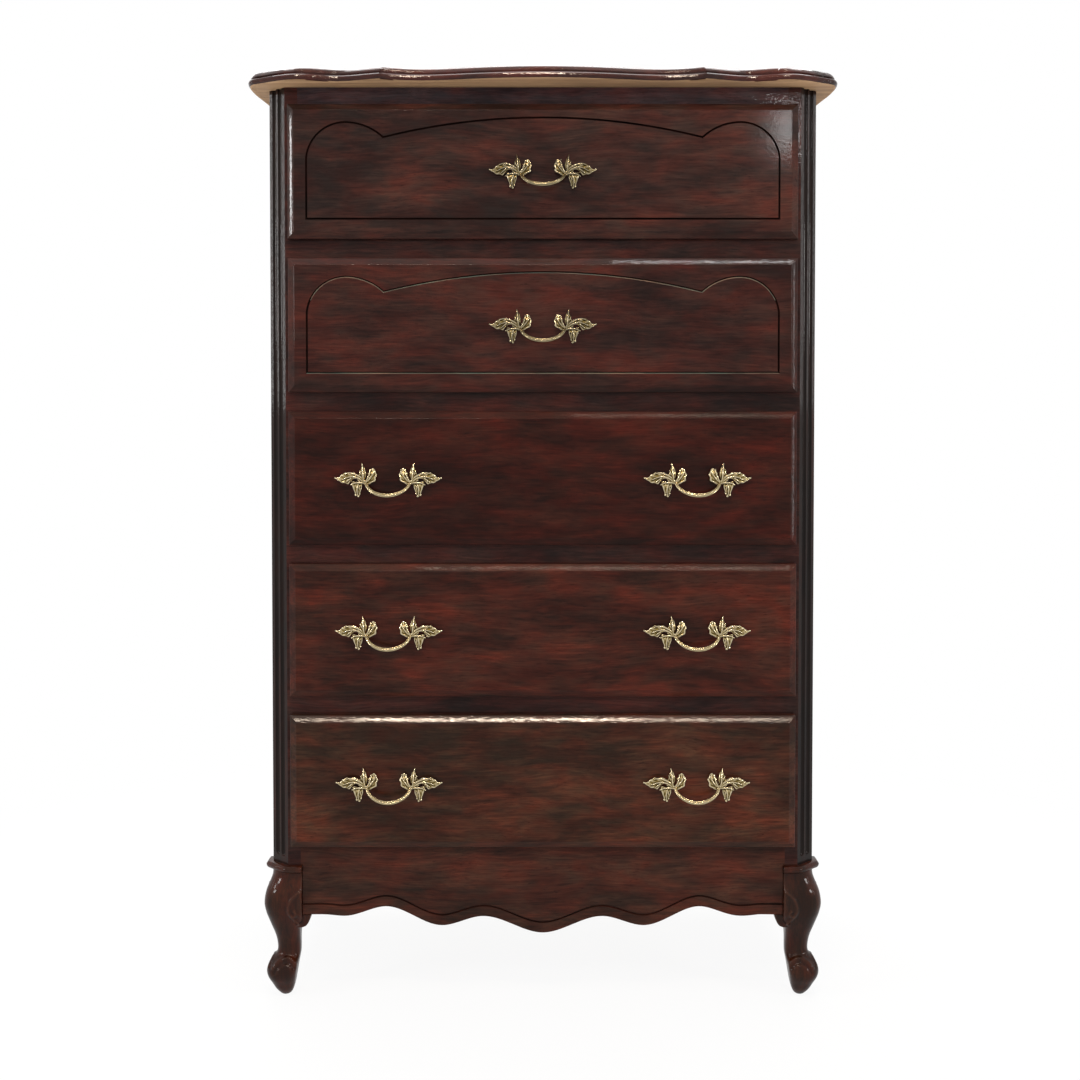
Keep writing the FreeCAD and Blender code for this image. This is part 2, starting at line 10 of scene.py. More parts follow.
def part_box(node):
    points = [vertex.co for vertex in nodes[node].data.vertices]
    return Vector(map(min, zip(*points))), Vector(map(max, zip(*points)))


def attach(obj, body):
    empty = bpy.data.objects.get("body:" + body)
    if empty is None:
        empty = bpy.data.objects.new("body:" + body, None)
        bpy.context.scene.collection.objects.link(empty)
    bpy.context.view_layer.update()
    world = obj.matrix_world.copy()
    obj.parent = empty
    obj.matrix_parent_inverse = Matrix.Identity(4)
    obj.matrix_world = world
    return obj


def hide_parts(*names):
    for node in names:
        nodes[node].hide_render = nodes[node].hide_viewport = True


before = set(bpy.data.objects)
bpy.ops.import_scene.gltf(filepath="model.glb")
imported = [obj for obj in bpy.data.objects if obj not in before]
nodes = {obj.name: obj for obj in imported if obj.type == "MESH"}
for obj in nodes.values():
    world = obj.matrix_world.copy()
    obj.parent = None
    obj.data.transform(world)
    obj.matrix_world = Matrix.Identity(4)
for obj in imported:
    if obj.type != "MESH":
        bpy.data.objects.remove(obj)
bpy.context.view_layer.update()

# Camera
SENSOR = 36.0
LENS = 49.94
CAMERA_PLACE = (-0.0039, -2.2805, 0.82)
CAMERA_DOWN = math.radians(1.744)
CAMERA_SHIFT = (0.0, -0.07)

# Light
WORLD_STRENGTH = 0.5
WORLD_COLOUR = (0.96, 0.98, 1.0, 1.0)
WHITE = (1.0, 1.0, 1.0, 1.0)
FLOOR_COLOUR = (0.86, 0.86, 0.86, 1.0)
FLOOR_SIDE = 40.0
# The floor is seen this much whitened near the chest, and as plain white past the fade
FLOOR_FADE = (0.5, 1.4)
FLOOR_WHITE_SHARE = 0.92
FLOOR_ROUGHNESS = 0.9
FLOOR_SHEEN = 0.1
DAYLIGHT = (1.0, 1.0, 1.0)
TUBE_LIGHT = (1.0, 0.82, 0.64)
# Each lamp: name, place, point it faces, width, height, watts, colour. The strips draw the bright lines on
# the drawers' upper bevels, the windows those on their end bevels, and the knee lights the legs' glints.
LAMPS = [
    ("ceiling_strip", (0.0, -1.478, 2.4), (0.0, -0.2, 0.4), 1.5, 0.04, 9.0, TUBE_LIGHT),
    ("ceiling_strip_middle", (-0.115, -1.478, 2.41), (-0.115, -0.2, 0.4), 0.85, 0.04, 10.0, TUBE_LIGHT),
    ("ceiling_strip_4", (0.19, -1.105, 2.4), (0.19, -0.2, 0.6), 1.03, 0.008, 3.0, TUBE_LIGHT),
    ("ceiling_strip_3", (0.36, -0.804, 2.4), (0.36, -0.2, 0.8), 0.58, 0.008, 1.2, TUBE_LIGHT),
    ("ceiling_strip_2", (0.39, -0.569, 2.4), (0.39, -0.2, 1.0), 0.44, 0.01, 1.2, DAYLIGHT),
    ("front_fill", (-0.4, -3.0, 2.5), (0.0, -0.2, 0.7), 0.4, 0.4, 8.0, DAYLIGHT),
    ("left_knee_light", (-2.28, -1.28, 1.2), (-0.37, -0.2, 0.2), 0.45, 0.35, 14.0, DAYLIGHT),
    ("right_knee_light", (2.28, -1.28, 1.2), (0.37, -0.2, 0.2), 0.45, 0.35, 14.0, DAYLIGHT),
    ("corner_glow", (0.655, -2.14, 1.595), (0.330, -0.2, 1.22), 0.05, 0.11, 1.5, DAYLIGHT),
    ("left_window", (-2.28, -0.60, 1.46), (-0.35, -0.2, 1.16), 0.06, 0.32, 5.0, DAYLIGHT),
    ("right_window", (2.30, -0.60, 0.88), (0.35, -0.2, 0.85), 0.03, 0.75, 1.2, DAYLIGHT),
    ("left_post_light", (-2.33, 0.18, 1.30), (-0.37, -0.17, 1.08), 0.06, 0.9, 2.0, DAYLIGHT),
    ("right_post_light", (2.33, 0.18, 1.30), (0.37, -0.17, 1.08), 0.06, 0.9, 0.9, DAYLIGHT),
    ("overhead_softbox", (0.0, 0.65, 2.5), (0.0, 0.65, 1.3), 2.0, 1.7, 60.0, DAYLIGHT),
    ("rear_softbox", (-1.1, 2.2, 1.9), (0.0, 0.1, 0.7), 1.6, 1.6, 9.0, DAYLIGHT),
]


def make_camera():
    data = bpy.data.cameras.new("camera")
    data.sensor_width = SENSOR
    data.lens = LENS
    data.shift_x, data.shift_y = CAMERA_SHIFT
    camera = bpy.data.objects.new("camera", data)
    camera.location = CAMERA_PLACE
    camera.rotation_euler = Euler((math.pi / 2 - CAMERA_DOWN, 0.0, 0.0))
    bpy.context.scene.collection.objects.link(camera)
    bpy.context.scene.camera = camera


def make_lamps():
    for name, place, target, width, height, watts, colour in LAMPS:
        data = bpy.data.lights.new(name, "AREA")
        data.shape = "RECTANGLE"
        data.size = width
        data.size_y = height
        data.energy = watts
        data.color = colour
        lamp = bpy.data.objects.new(name, data)
        lamp.location = place
        direction = Vector(target) - Vector(place)
        lamp.rotation_euler = direction.to_track_quat("-Z", "Y").to_euler()
        bpy.context.scene.collection.objects.link(lamp)


# A colour ramp starts with stops at 0 and 1, so that a new stop goes between them
RAMP_MIDDLE = 0.5


class Graph:
    """Short calls for building one node tree that ends in a principled shader."""

    def __init__(self, name):
        self.material = bpy.data.materials.new(name)
        self.material.use_nodes = True
        self.tree = self.material.node_tree
        self.tree.nodes.clear()
        self.shader = self.node("ShaderNodeBsdfPrincipled")
        output = self.node("ShaderNodeOutputMaterial")
        self.tree.links.new(self.shader.outputs["BSDF"], output.inputs["Surface"])

    def node(self, kind, **settings):
        made = self.tree.nodes.new(kind)
        for key, value in settings.items():
            setattr(made, key, value)
        return made

    def put(self, socket, value):
        if isinstance(value, bpy.types.NodeSocket):
            self.tree.links.new(value, socket)
        else:
            socket.default_value = value

    def finish(self, **inputs):
        """Set or link the shader's sockets, named with underscores for spaces."""
        for key, value in inputs.items():
            self.put(self.shader.inputs[key.replace("_", " ")], value)
        return self.material

    def object_place(self):
        return self.node("ShaderNodeTexCoord").outputs["Object"]

    def math(self, operation, first, second=0.0):
        made = self.node("ShaderNodeMath", operation=operation)
        self.put(made.inputs[0], first)
        self.put(made.inputs[1], second)
        return made.outputs[0]

    def vector(self, operation, first, second):
        made = self.node("ShaderNodeVectorMath", operation=operation)
        self.put(made.inputs[0], first)
        self.put(made.inputs[1], second)
        return made.outputs[0]

    def noise(self, vector, stretch, detail=2.0, roughness=0.5, colour=False):
        """Noise whose cells are 1 / stretch metres long on each axis."""
        made = self.node("ShaderNodeTexNoise")
        self.put(made.inputs["Vector"], self.vector("MULTIPLY", vector, stretch))
        made.inputs["Scale"].default_value = 1.0
        made.inputs["Detail"].default_value = detail
        made.inputs["Roughness"].default_value = roughness
        return made.outputs["Color" if colour else "Fac"]

    def ramp(self, factor, stops):
        made = self.node("ShaderNodeValToRGB")
        elements = made.color_ramp.elements
        while len(elements) < len(stops):
            elements.new(RAMP_MIDDLE)
        for element, (position, colour) in zip(elements, stops):
            element.position = position
            element.color = colour
        self.put(made.inputs["Fac"], factor)
        return made.outputs["Color"]

    def fade(self, factor, low, high):
        """0 at low, 1 at high and a straight line between."""
        made = self.node("ShaderNodeMapRange", clamp=True)
        self.put(made.inputs["Value"], factor)
        made.inputs["From Min"].default_value = low
        made.inputs["From Max"].default_value = high
        return made.outputs["Result"]

    def spread(self, factor, least, span):
        """A straight line from least, where the factor is 0, to least + span, where it is 1."""
        return self.math("ADD", self.math("MULTIPLY", factor, span), least)

    def mix(self, factor, first, second, blend="MIX"):
        made = self.node("ShaderNodeMix", data_type="RGBA", blend_type=blend)
        self.put(made.inputs["Factor"], factor)
        colours = [socket for socket in made.inputs if socket.type == "RGBA"]
        self.put(colours[0], first)
        self.put(colours[1], second)
        return [socket for socket in made.outputs if socket.type == "RGBA"][0]

    def bump(self, height, strength, distance):
        made = self.node("ShaderNodeBump")
        made.inputs["Strength"].default_value = strength
        made.inputs["Distance"].default_value = distance
        self.put(made.inputs["Height"], height)
        return made.outputs["Normal"]


def seen_directly(tree):
    """1 for rays that show the background: from the camera, off gloss or through glass."""
    path = tree.nodes.new("ShaderNodeLightPath")
    seen = path.outputs["Is Camera Ray"]
    for name in ("Is Glossy Ray", "Is Transmission Ray"):
        either = tree.nodes.new("ShaderNodeMath")
        either.operation = "MAXIMUM"
        tree.links.new(seen, either.inputs[0])
        tree.links.new(path.outputs[name], either.inputs[1])
        seen = either.outputs[0]
    return seen


def mix_shaders(tree, factor, first, second, output):
    mixed = tree.nodes.new("ShaderNodeMixShader")
    tree.links.new(factor, mixed.inputs[0])
    tree.links.new(first.outputs[0], mixed.inputs[1])
    tree.links.new(second.outputs[0], mixed.inputs[2])
    tree.links.new(mixed.outputs[0], output.inputs["Surface"])


def make_world():
    """Soft light from all round; the camera, gloss and glass see plain white."""
    world = bpy.data.worlds.new("studio")
    world.use_nodes = True
    tree = world.node_tree
    tree.nodes.clear()
    soft = tree.nodes.new("ShaderNodeBackground")
    soft.inputs["Color"].default_value = WORLD_COLOUR
    soft.inputs["Strength"].default_value = WORLD_STRENGTH
    plain = tree.nodes.new("ShaderNodeBackground")
    plain.inputs["Color"].default_value = WHITE
    plain.inputs["Strength"].default_value = 1.0
    mix_shaders(tree, seen_directly(tree), soft, plain, tree.nodes.new("ShaderNodeOutputWorld"))
    bpy.context.scene.world = world


def make_floor():
    """A pale floor that keeps the shadow near the chest and turns plain white further out."""
    half = FLOOR_SIDE / 2
    mesh = bpy.data.meshes.new("floor")
    corners = [(-half, -half, 0.0), (half, -half, 0.0), (half, half, 0.0), (-half, half, 0.0)]
    mesh.from_pydata(corners, [], [(0, 1, 2, 3)])
    floor = bpy.data.objects.new("floor", mesh)
    bpy.context.scene.collection.objects.link(floor)
    graph = Graph("pale_floor")
    pale = graph.finish(Base_Color=FLOOR_COLOUR, Roughness=FLOOR_ROUGHNESS, Specular_IOR_Level=FLOOR_SHEEN)
    mesh.materials.append(pale)
    white = graph.node("ShaderNodeEmission")
    white.inputs["Color"].default_value = WHITE
    length = graph.node("ShaderNodeVectorMath", operation="LENGTH")
    graph.put(length.inputs[0], graph.object_place())
    share = graph.fade(length.outputs["Value"], *FLOOR_FADE)
    share = graph.spread(share, FLOOR_WHITE_SHARE, 1.0 - FLOOR_WHITE_SHARE)
    factor = graph.math("MULTIPLY", seen_directly(graph.tree), share)
    output = [node for node in graph.tree.nodes if node.type == "OUTPUT_MATERIAL"][0]
    mix_shaders(graph.tree, factor, graph.shader, white, output)


# Wood

# Mean colours of the lacquered wood, piece by piece, some of them with painted shade or painted light in them
# as noted
DRAWER_TONES = [
    (0.034, 0.0142, 0.0114),
    (0.031, 0.0112, 0.0090),
    (0.028, 0.0068, 0.0047),
    (0.044, 0.0128, 0.0084),
    (0.054, 0.0196, 0.0112),
]
APRON_TONE = (0.041, 0.0150, 0.0100)
# The top rail is lighter than the other rails: painted light against the shade under the top's overhang
TOP_RAIL_PAINTED_LIGHT_TONE = (0.042, 0.0235, 0.0260)
RAIL_TONE = (0.035, 0.0135, 0.0115)
POST_TONE = (0.012, 0.0060, 0.0050)
# Near-black tone of the posts' flutes: painted shade in the hollows
PAINTED_FLUTE_SHADE_TONE = (0.005, 0.0030, 0.0027)
LEG_TONE = (0.029, 0.0072, 0.0030)
TOP_TONE = (0.034, 0.0100, 0.0075)
# Near-black tones of the incised lines: painted shade in their grooves
PAINTED_LINE_SHADE_TONE = (0.006, 0.0030, 0.0026)
PAINTED_APRON_LINE_SHADE_TONE = (0.016, 0.0060, 0.0042)
# Pale colour for one drawer's incised line: a painted highlight on its upturned wall
PAINTED_GLINT_TONE = (0.120, 0.115, 0.092)
SIDE_TONE = (0.044, 0.0150, 0.0105)
PIT_COLOUR = (0.004, 0.002, 0.002, 1.0)
WORN_COLOUR = (0.09, 0.035, 0.02, 1.0)
# Gloss: coat weight and roughness, sheen of the wood under it, the coat ripple's cells per metre and height
Gloss = namedtuple("Gloss", "coat roughness sheen ripple_cells ripple_height")
LACQUER = Gloss(0.13, 0.05, 0.05, (220.0, 320.0, 320.0), 0.00009)
FIELD_GLOSS = LACQUER._replace(roughness=0.10, ripple_height=0.00004)
# The ripple runs along each bevel, and the upper bevels differ in coat weight, drawer by drawer
BEVEL_COATS = (0.28, 0.42, 0.14, 0.2, 0.6)
BEVEL_GLOSSES = [Gloss(coat, 0.05, 0.08, (90.0, 420.0, 420.0), 0.00007) for coat in BEVEL_COATS]
END_BEVEL_GLOSS = Gloss(0.2, 0.05, 0.05, (420.0, 420.0, 90.0), 0.00004)
# A bevel's coat is slightly rounded about a line at this distance inside the front's edge
CROWN_RADIUS = 0.115
CROWN_INSET = 0.0055
SHEEN_TINT = (1.0, 0.55, 0.4, 1.0)
LINE_GLOSS = LACQUER._replace(coat=0.0)
POST_GLOSS = LACQUER._replace(coat=0.22)
TOP_GLOSS = LACQUER._replace(coat=0.36)
ARRIS_GLOSS = LACQUER._replace(coat=1.0)
SIDE_GLOSS = LACQUER._replace(coat=0.06)
LEG_GLOSS = LACQUER._replace(coat=0.28, roughness=0.1, ripple_height=0.00003)
# Roughness: the least, and what the figure adds. Bump: strength, and height in metres
WOOD_ROUGHNESS = (0.24, 0.18)
PORE_BUMP = (0.22, 0.0003)
COAT_BUMP = (1.0, 1.0)
NOISE_MEAN = 0.5
# Grain: noise cells per metre along the grain and across it
DRIFT_CELLS = (5.0, 12.0, 12.0)
DRIFT_REACH = (0.05, 0.03, 0.03)
COARSE_DETAIL = 1.0
BROAD_CELLS = (1.6, 4.5, 4.5)
BROAD_SHARE = 0.20
# Each layer of the figure: cells, detail, share
FIGURE_LAYERS = [
    ((7.0, 24.0, 24.0), 4.0, 0.58),
    ((26.0, 200.0, 200.0), 2.0, 0.22),
]
FIGURE_ROUGHNESS = 0.6
FIGURE_STOPS = [
    (0.40, (0.44, 0.54, 0.60)),
    (0.50, (0.96, 0.96, 0.96)),
    (0.60, (1.66, 1.42, 1.28)),
]
HUE_CELLS = (22.0, 50.0, 50.0)
HUE_STOPS = [(0.35, (0.84, 1.08, 1.10, 1.0)), (0.65, (1.18, 0.88, 0.84, 1.0))]
FIBRE_CELLS = (24.0, 480.0, 480.0)
FIBRE_STOPS = [(0.3, (0.76, 0.76, 0.76, 1.0)), (0.7, (1.22, 1.22, 1.22, 1.0))]
FIBRE_RELIEF = 0.25
PORE_CELLS = (70.0, 1500.0, 1500.0)
PORE_FADE = (0.36, 0.30)
PORE_SHARE = 0.55
# Carved parts: the spans of relief that darken and that wear
HOLLOW_FADE = (0.48, 0.1)
HOLLOW_SHARE = 0.8
RIDGE_FADE = (0.55, 0.95)
RIDGE_SHARE = 0.5
GRAIN_ORDER = {"X": ("X", "Y", "Z"), "Y": ("Y", "X", "Z"), "Z": ("Z", "X", "Y")}
# How far a seed of 1 moves the grain on each axis, in metres
SEED_STEPS = (1.37, 0.71, 0.43)


def grain_coordinates(graph, axis, seed):
    """Object coordinates, the first of them along the grain, moved by the seed."""
    split = graph.node("ShaderNodeSeparateXYZ")
    graph.put(split.inputs[0], graph.object_place())
    turned = graph.node("ShaderNodeCombineXYZ")
    for number, letter in enumerate(GRAIN_ORDER[axis]):
        graph.put(turned.inputs[number], split.outputs[letter])
    offset = tuple(seed * step for step in SEED_STEPS)
    return graph.vector("ADD", turned.outputs[0], offset)


def drifted(graph, place, cells, reach):
    """Coordinates bent by a slow noise, so that the grain wanders."""
    drift = graph.noise(place, cells, colour=True)
    drift = graph.vector("SUBTRACT", drift, (NOISE_MEAN, NOISE_MEAN, NOISE_MEAN))
    return graph.vector("ADD", place, graph.vector("MULTIPLY", drift, reach))


def scaled(colour, *factors):
    """A colour with each of its parts multiplied by a factor."""
    return (*[part * factor for part, factor in zip(colour, factors)], 1.0)


def crown_height(graph, letter, centre):
    """Height of a slightly rounded bevel, which falls off on both sides of its centre line."""
    split = graph.node("ShaderNodeSeparateXYZ")
    graph.put(split.inputs[0], graph.object_place())
    offset = graph.math("SUBTRACT", graph.math("ABSOLUTE", split.outputs[letter]), centre)
    return graph.math("MULTIPLY", graph.math("MULTIPLY", offset, offset), -0.5 / CROWN_RADIUS)


def mahogany(name, axis, seed, tone, gloss=LACQUER, carved=False, crown=None):
    """Dark lacquered mahogany: a cloudy figure about a mean tone, redder patches, fibres and pores."""
    graph = Graph(name)
    place = grain_coordinates(graph, axis, seed)
    flowing = drifted(graph, place, DRIFT_CELLS, DRIFT_REACH)
    figure = graph.math("MULTIPLY", graph.noise(place, BROAD_CELLS, COARSE_DETAIL), BROAD_SHARE)
    for cells, detail, share in FIGURE_LAYERS:
        layer = graph.noise(flowing, cells, detail, FIGURE_ROUGHNESS)
        figure = graph.math("ADD", figure, graph.math("MULTIPLY", layer, share))
    colour = graph.ramp(figure, [(stop, scaled(tone, *factors)) for stop, factors in FIGURE_STOPS])
    hue = graph.noise(flowing, HUE_CELLS)
    colour = graph.mix(1.0, colour, graph.ramp(hue, HUE_STOPS), "MULTIPLY")
    fibres = graph.noise(flowing, FIBRE_CELLS)
    colour = graph.mix(1.0, colour, graph.ramp(fibres, FIBRE_STOPS), "MULTIPLY")
    pits = graph.fade(graph.noise(flowing, PORE_CELLS, COARSE_DETAIL), *PORE_FADE)
    colour = graph.mix(graph.math("MULTIPLY", pits, PORE_SHARE), colour, PIT_COLOUR)
    if carved:
        proud = graph.node("ShaderNodeAttribute", attribute_name="relief").outputs["Fac"]
        # The carving is made darker in its hollows
        hollow_darkening = graph.math("MULTIPLY", graph.fade(proud, *HOLLOW_FADE), HOLLOW_SHARE)
        colour = graph.mix(hollow_darkening, colour, PIT_COLOUR)
        worn = graph.math("MULTIPLY", graph.fade(proud, *RIDGE_FADE), RIDGE_SHARE)
        colour = graph.mix(worn, colour, WORN_COLOUR)
    surface = graph.math("MULTIPLY", graph.noise(place, gloss.ripple_cells), gloss.ripple_height)
    if crown:
        surface = graph.math("ADD", surface, crown_height(graph, *crown))
    relief = graph.math("SUBTRACT", graph.math("MULTIPLY", fibres, FIBRE_RELIEF), pits)
    return graph.finish(
        Base_Color=colour,
        Roughness=graph.spread(figure, *WOOD_ROUGHNESS),
        Normal=graph.bump(relief, *PORE_BUMP),
        Specular_IOR_Level=gloss.sheen,
        Specular_Tint=SHEEN_TINT,
        Coat_Weight=gloss.coat,
        Coat_Roughness=gloss.roughness,
        Coat_Normal=graph.bump(surface, *COAT_BUMP),
    )


# Bare wood: its light and its deep colour, place by place
BARE_TONES = ((0.52, 0.34, 0.20), (0.30, 0.175, 0.095))
UNDERSIDE_TONES = ((0.56, 0.355, 0.20), (0.34, 0.20, 0.104))
BACK_TONES = ((0.30, 0.18, 0.10), (0.18, 0.10, 0.052))
BOTTOM_TONES = ((0.44, 0.29, 0.17), (0.29, 0.18, 0.10))
BARE_DRIFT_CELLS = (3.0, 8.0, 8.0)
BARE_DRIFT_REACH = (0.02, 0.02, 0.02)
RING_CELLS = (1.6, 90.0, 90.0)
RING_DETAIL = 4.0
RING_ROUGHNESS = 0.6
RING_SPAN = (0.34, 0.66)
BARE_FIBRE_CELLS = (30.0, 900.0, 900.0)
BARE_FIBRE_STOPS = [(0.3, (0.80, 0.80, 0.80, 1.0)), (0.7, (1.1, 1.1, 1.1, 1.0))]
SOIL_CELLS = (7.0, 7.0, 7.0)
SOIL_DETAIL = 4.0
SOIL_FADE = (0.5, 0.75)
SOIL_SHARE = 0.5
SOIL_COLOUR = (0.16, 0.10, 0.06, 1.0)
BARE_ROUGHNESS = (0.6, 0.2)
BARE_BUMP = (0.25, 0.0003)
BARE_SHEEN = 0.25


def bare_wood(name, axis, seed, tones=BARE_TONES):
    """Unfinished wood with fine straight grain and soiled patches."""
    light, deep = tones
    graph = Graph(name)
    place = grain_coordinates(graph, axis, seed)
    flowing = drifted(graph, place, BARE_DRIFT_CELLS, BARE_DRIFT_REACH)
    rings = graph.noise(flowing, RING_CELLS, RING_DETAIL, RING_ROUGHNESS)
    fibres = graph.noise(flowing, BARE_FIBRE_CELLS)
    soil = graph.noise(place, SOIL_CELLS, SOIL_DETAIL)
    colour = graph.ramp(rings, [(RING_SPAN[0], (*deep, 1.0)), (RING_SPAN[1], (*light, 1.0))])
    colour = graph.mix(1.0, colour, graph.ramp(fibres, BARE_FIBRE_STOPS), "MULTIPLY")
    stain = graph.math("MULTIPLY", graph.fade(soil, *SOIL_FADE), SOIL_SHARE)
    colour = graph.mix(stain, colour, SOIL_COLOUR)
    return graph.finish(
        Base_Color=colour,
        Roughness=graph.spread(rings, *BARE_ROUGHNESS),
        Normal=graph.bump(fibres, *BARE_BUMP),
        Specular_IOR_Level=BARE_SHEEN,
    )


# Metal

METAL_DETAIL = 3.0
STEEL_BRUSH_CELLS = (400.0, 4000.0, 400.0)
STEEL_SPOT_CELLS = (120.0, 120.0, 120.0)
STEEL_STOPS = [(0.35, (0.24, 0.22, 0.20, 1.0)), (0.6, (0.52, 0.51, 0.49, 1.0))]
STEEL_ROUGHNESS = (0.22, 0.3)
# Brass from its hollows to its raised parts
BRASS_STOPS = [
    (0.24, (0.046, 0.032, 0.009)),
    (0.45, (0.21, 0.150, 0.046)),
    (0.74, (0.54, 0.450, 0.29)),
]
BRASS_MOTTLE_CELLS = (160.0, 160.0, 160.0)
BRASS_MOTTLE_SHARE = 0.2
BRASS_POLISH_FADE = (1.1, 0.1)
BRASS_ROUGHNESS = (0.12, 0.3)
# The pulls of the upper two drawers are painted darker than the others: painted shade on the same brass
PULL_PAINTED_LIGHT = (0.58, 0.62, 1.0, 1.0, 1.0)


def steel(name):
    graph = Graph(name)
    place = graph.object_place()
    brushed = graph.noise(place, STEEL_BRUSH_CELLS)
    colour = graph.ramp(graph.noise(place, STEEL_SPOT_CELLS, METAL_DETAIL), STEEL_STOPS)
    return graph.finish(Base_Color=colour, Roughness=graph.spread(brushed, *STEEL_ROUGHNESS), Metallic=1.0)


def brass(name, painted_light):
    """Antiqued brass: worn bright on the raised parts, olive-brown in the hollows, and made darker by a
    painted-light factor below 1, which is painted shade.
    """
    graph = Graph(name)
    mottle = graph.noise(graph.object_place(), BRASS_MOTTLE_CELLS, METAL_DETAIL)
    mottle = graph.math("MULTIPLY", graph.math("SUBTRACT", mottle, NOISE_MEAN), BRASS_MOTTLE_SHARE)
    relief = graph.node("ShaderNodeAttribute", attribute_name="relief").outputs["Fac"]
    worn = graph.math("ADD", relief, mottle)
    colour = graph.ramp(worn, [(stop, scaled(tone, painted_light, painted_light, painted_light)) for stop, tone in BRASS_STOPS])
    dull = graph.fade(worn, *BRASS_POLISH_FADE)
    return graph.finish(Base_Color=colour, Roughness=graph.spread(dull, *BRASS_ROUGHNESS), Metallic=1.0)


# Meshes

MM = 0.001
# Relief is 0 in hollows and 1 on ridges
LEVEL_RELIEF = 0.5
RELIEF_BLUR = 3


def loft(rings):
    """A closed skin through rings of equally many points, capped at both ends."""
    count = len(rings[0])
    points = [point for ring in rings for point in ring]
    faces = [tuple(range(count - 1, -1, -1))]
    for level in range(len(rings) - 1):
        low = level * count
        for k in range(count):
            after = (k + 1) % count
            faces.append((low + k, low + after, low + count + after, low + count + k))
    last = (len(rings) - 1) * count
    faces.append(tuple(range(last, last + count)))
    return points, faces


def mirrored_shell(shell):
    points, faces = shell
    return [(-p[0], p[1], p[2]) for p in points], [tuple(reversed(face)) for face in faces]


def joined(name, shells):
    """One mesh, in metres, of several closed skins given in millimetres."""
    points = []
    faces = []
    for shell_points, shell_faces in shells:
        start = len(points)
        points += [Vector(p) * MM for p in shell_points]
        faces += [tuple(start + k for k in face) for face in shell_faces]
    mesh = bpy.data.meshes.new(name)
    mesh.from_pydata(points, [], faces)
    bm = bmesh.new()
    bm.from_mesh(mesh)
    bmesh.ops.recalc_face_normals(bm, faces=bm.faces)
    bm.to_mesh(mesh)
    bm.free()
    return mesh


def fused(mesh, voxel, smoothing):
    """The outer skin of overlapping closed skins, as one smooth casting or carving."""
    holder = bpy.data.objects.new("holder", mesh)
    bpy.context.scene.collection.objects.link(holder)
    remesh = holder.modifiers.new("skin", "REMESH")
    remesh.mode = "VOXEL"
    remesh.voxel_size = voxel * MM
    smooth = holder.modifiers.new("smooth", "SMOOTH")
    smooth.iterations = smoothing
    depsgraph = bpy.context.evaluated_depsgraph_get()
    result = bpy.data.meshes.new_from_object(holder.evaluated_get(depsgraph))
    bpy.data.objects.remove(holder)
    bpy.data.meshes.remove(mesh)
    return result


def spline_value(a, b, c, d, t):
    """The value at share t of the way from b to c on a smooth curve through a, b, c and d."""
    square = 2 * a - 5 * b + 4 * c - d
    cube = 3 * b - a - 3 * c + d
    return (2 * b + (c - a) * t + square * t ** 2 + cube * t ** 3) / 2


def curve_through(points, count):
    """Points along a smooth curve through the given ones, of any number of coordinates."""
    first = [2 * a - b for a, b in zip(points[0], points[1])]
    last = [2 * a - b for a, b in zip(points[-1], points[-2])]
    padded = [first, *points, last]
    spans = len(points) - 1
    found = []
    for step in range(count):
        place = spans * step / (count - 1)
        span = min(int(place), spans - 1)
        around = zip(*padded[span:span + 4])
        found.append([spline_value(*values, place - span) for values in around])
    return found


def store_relief(mesh, gain):
    """Keeps for the finish how proud each point stands of its neighbours."""
    bm = bmesh.new()
    bm.from_mesh(mesh)
    values = []
    for vert in bm.verts:
        offsets = [edge.other_vert(vert).co - vert.co for edge in vert.link_edges]
        size = sum(offset.length for offset in offsets)
        lift = sum(offset.dot(vert.normal) for offset in offsets)
        values.append(-lift / size if size else 0.0)
    for _ in range(RELIEF_BLUR):
        values = [
            (values[vert.index] + sum(values[edge.other_vert(vert).index] for edge in vert.link_edges))
            / (1 + len(vert.link_edges))
            for vert in bm.verts]
    bm.free()
    attribute = mesh.attributes.new("relief", "FLOAT", "POINT")
    relief = [min(1.0, max(0.0, LEVEL_RELIEF + gain * value)) for value in values]
    attribute.data.foreach_set("value", relief)


def smooth_faces(mesh):
    mesh.polygons.foreach_set("use_smooth", [True] * len(mesh.polygons))


def piece(name, mesh, body, node):
    """A finished mesh that stands for a CAD node and rides on its body."""
    made = bpy.data.objects.new(name, mesh)
    bpy.context.scene.collection.objects.link(made)
    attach(made, body)
    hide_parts(node)
    return made


# Pulls, in millimetres: u outward from a pull's middle, v up from its screws, w forward of the drawer

PULL_VOXEL = 0.5
PULL_SMOOTHING = 2
PULL_RELIEF_GAIN = 4.5
LEAF_STEPS = 34
LEAF_ACROSS = 13
LEAF_THICKNESS = 2.6
LEAF_CURL = 0.9
VEIN_HEIGHT = 0.35
RIM_PLACE = 0.76
RIM_SPREAD = 0.2
VEIN_SWEEP = 0.8
CREST_POWER = 1.4
EDGE_THINNING = 0.4
TIP_THINNING = 0.35
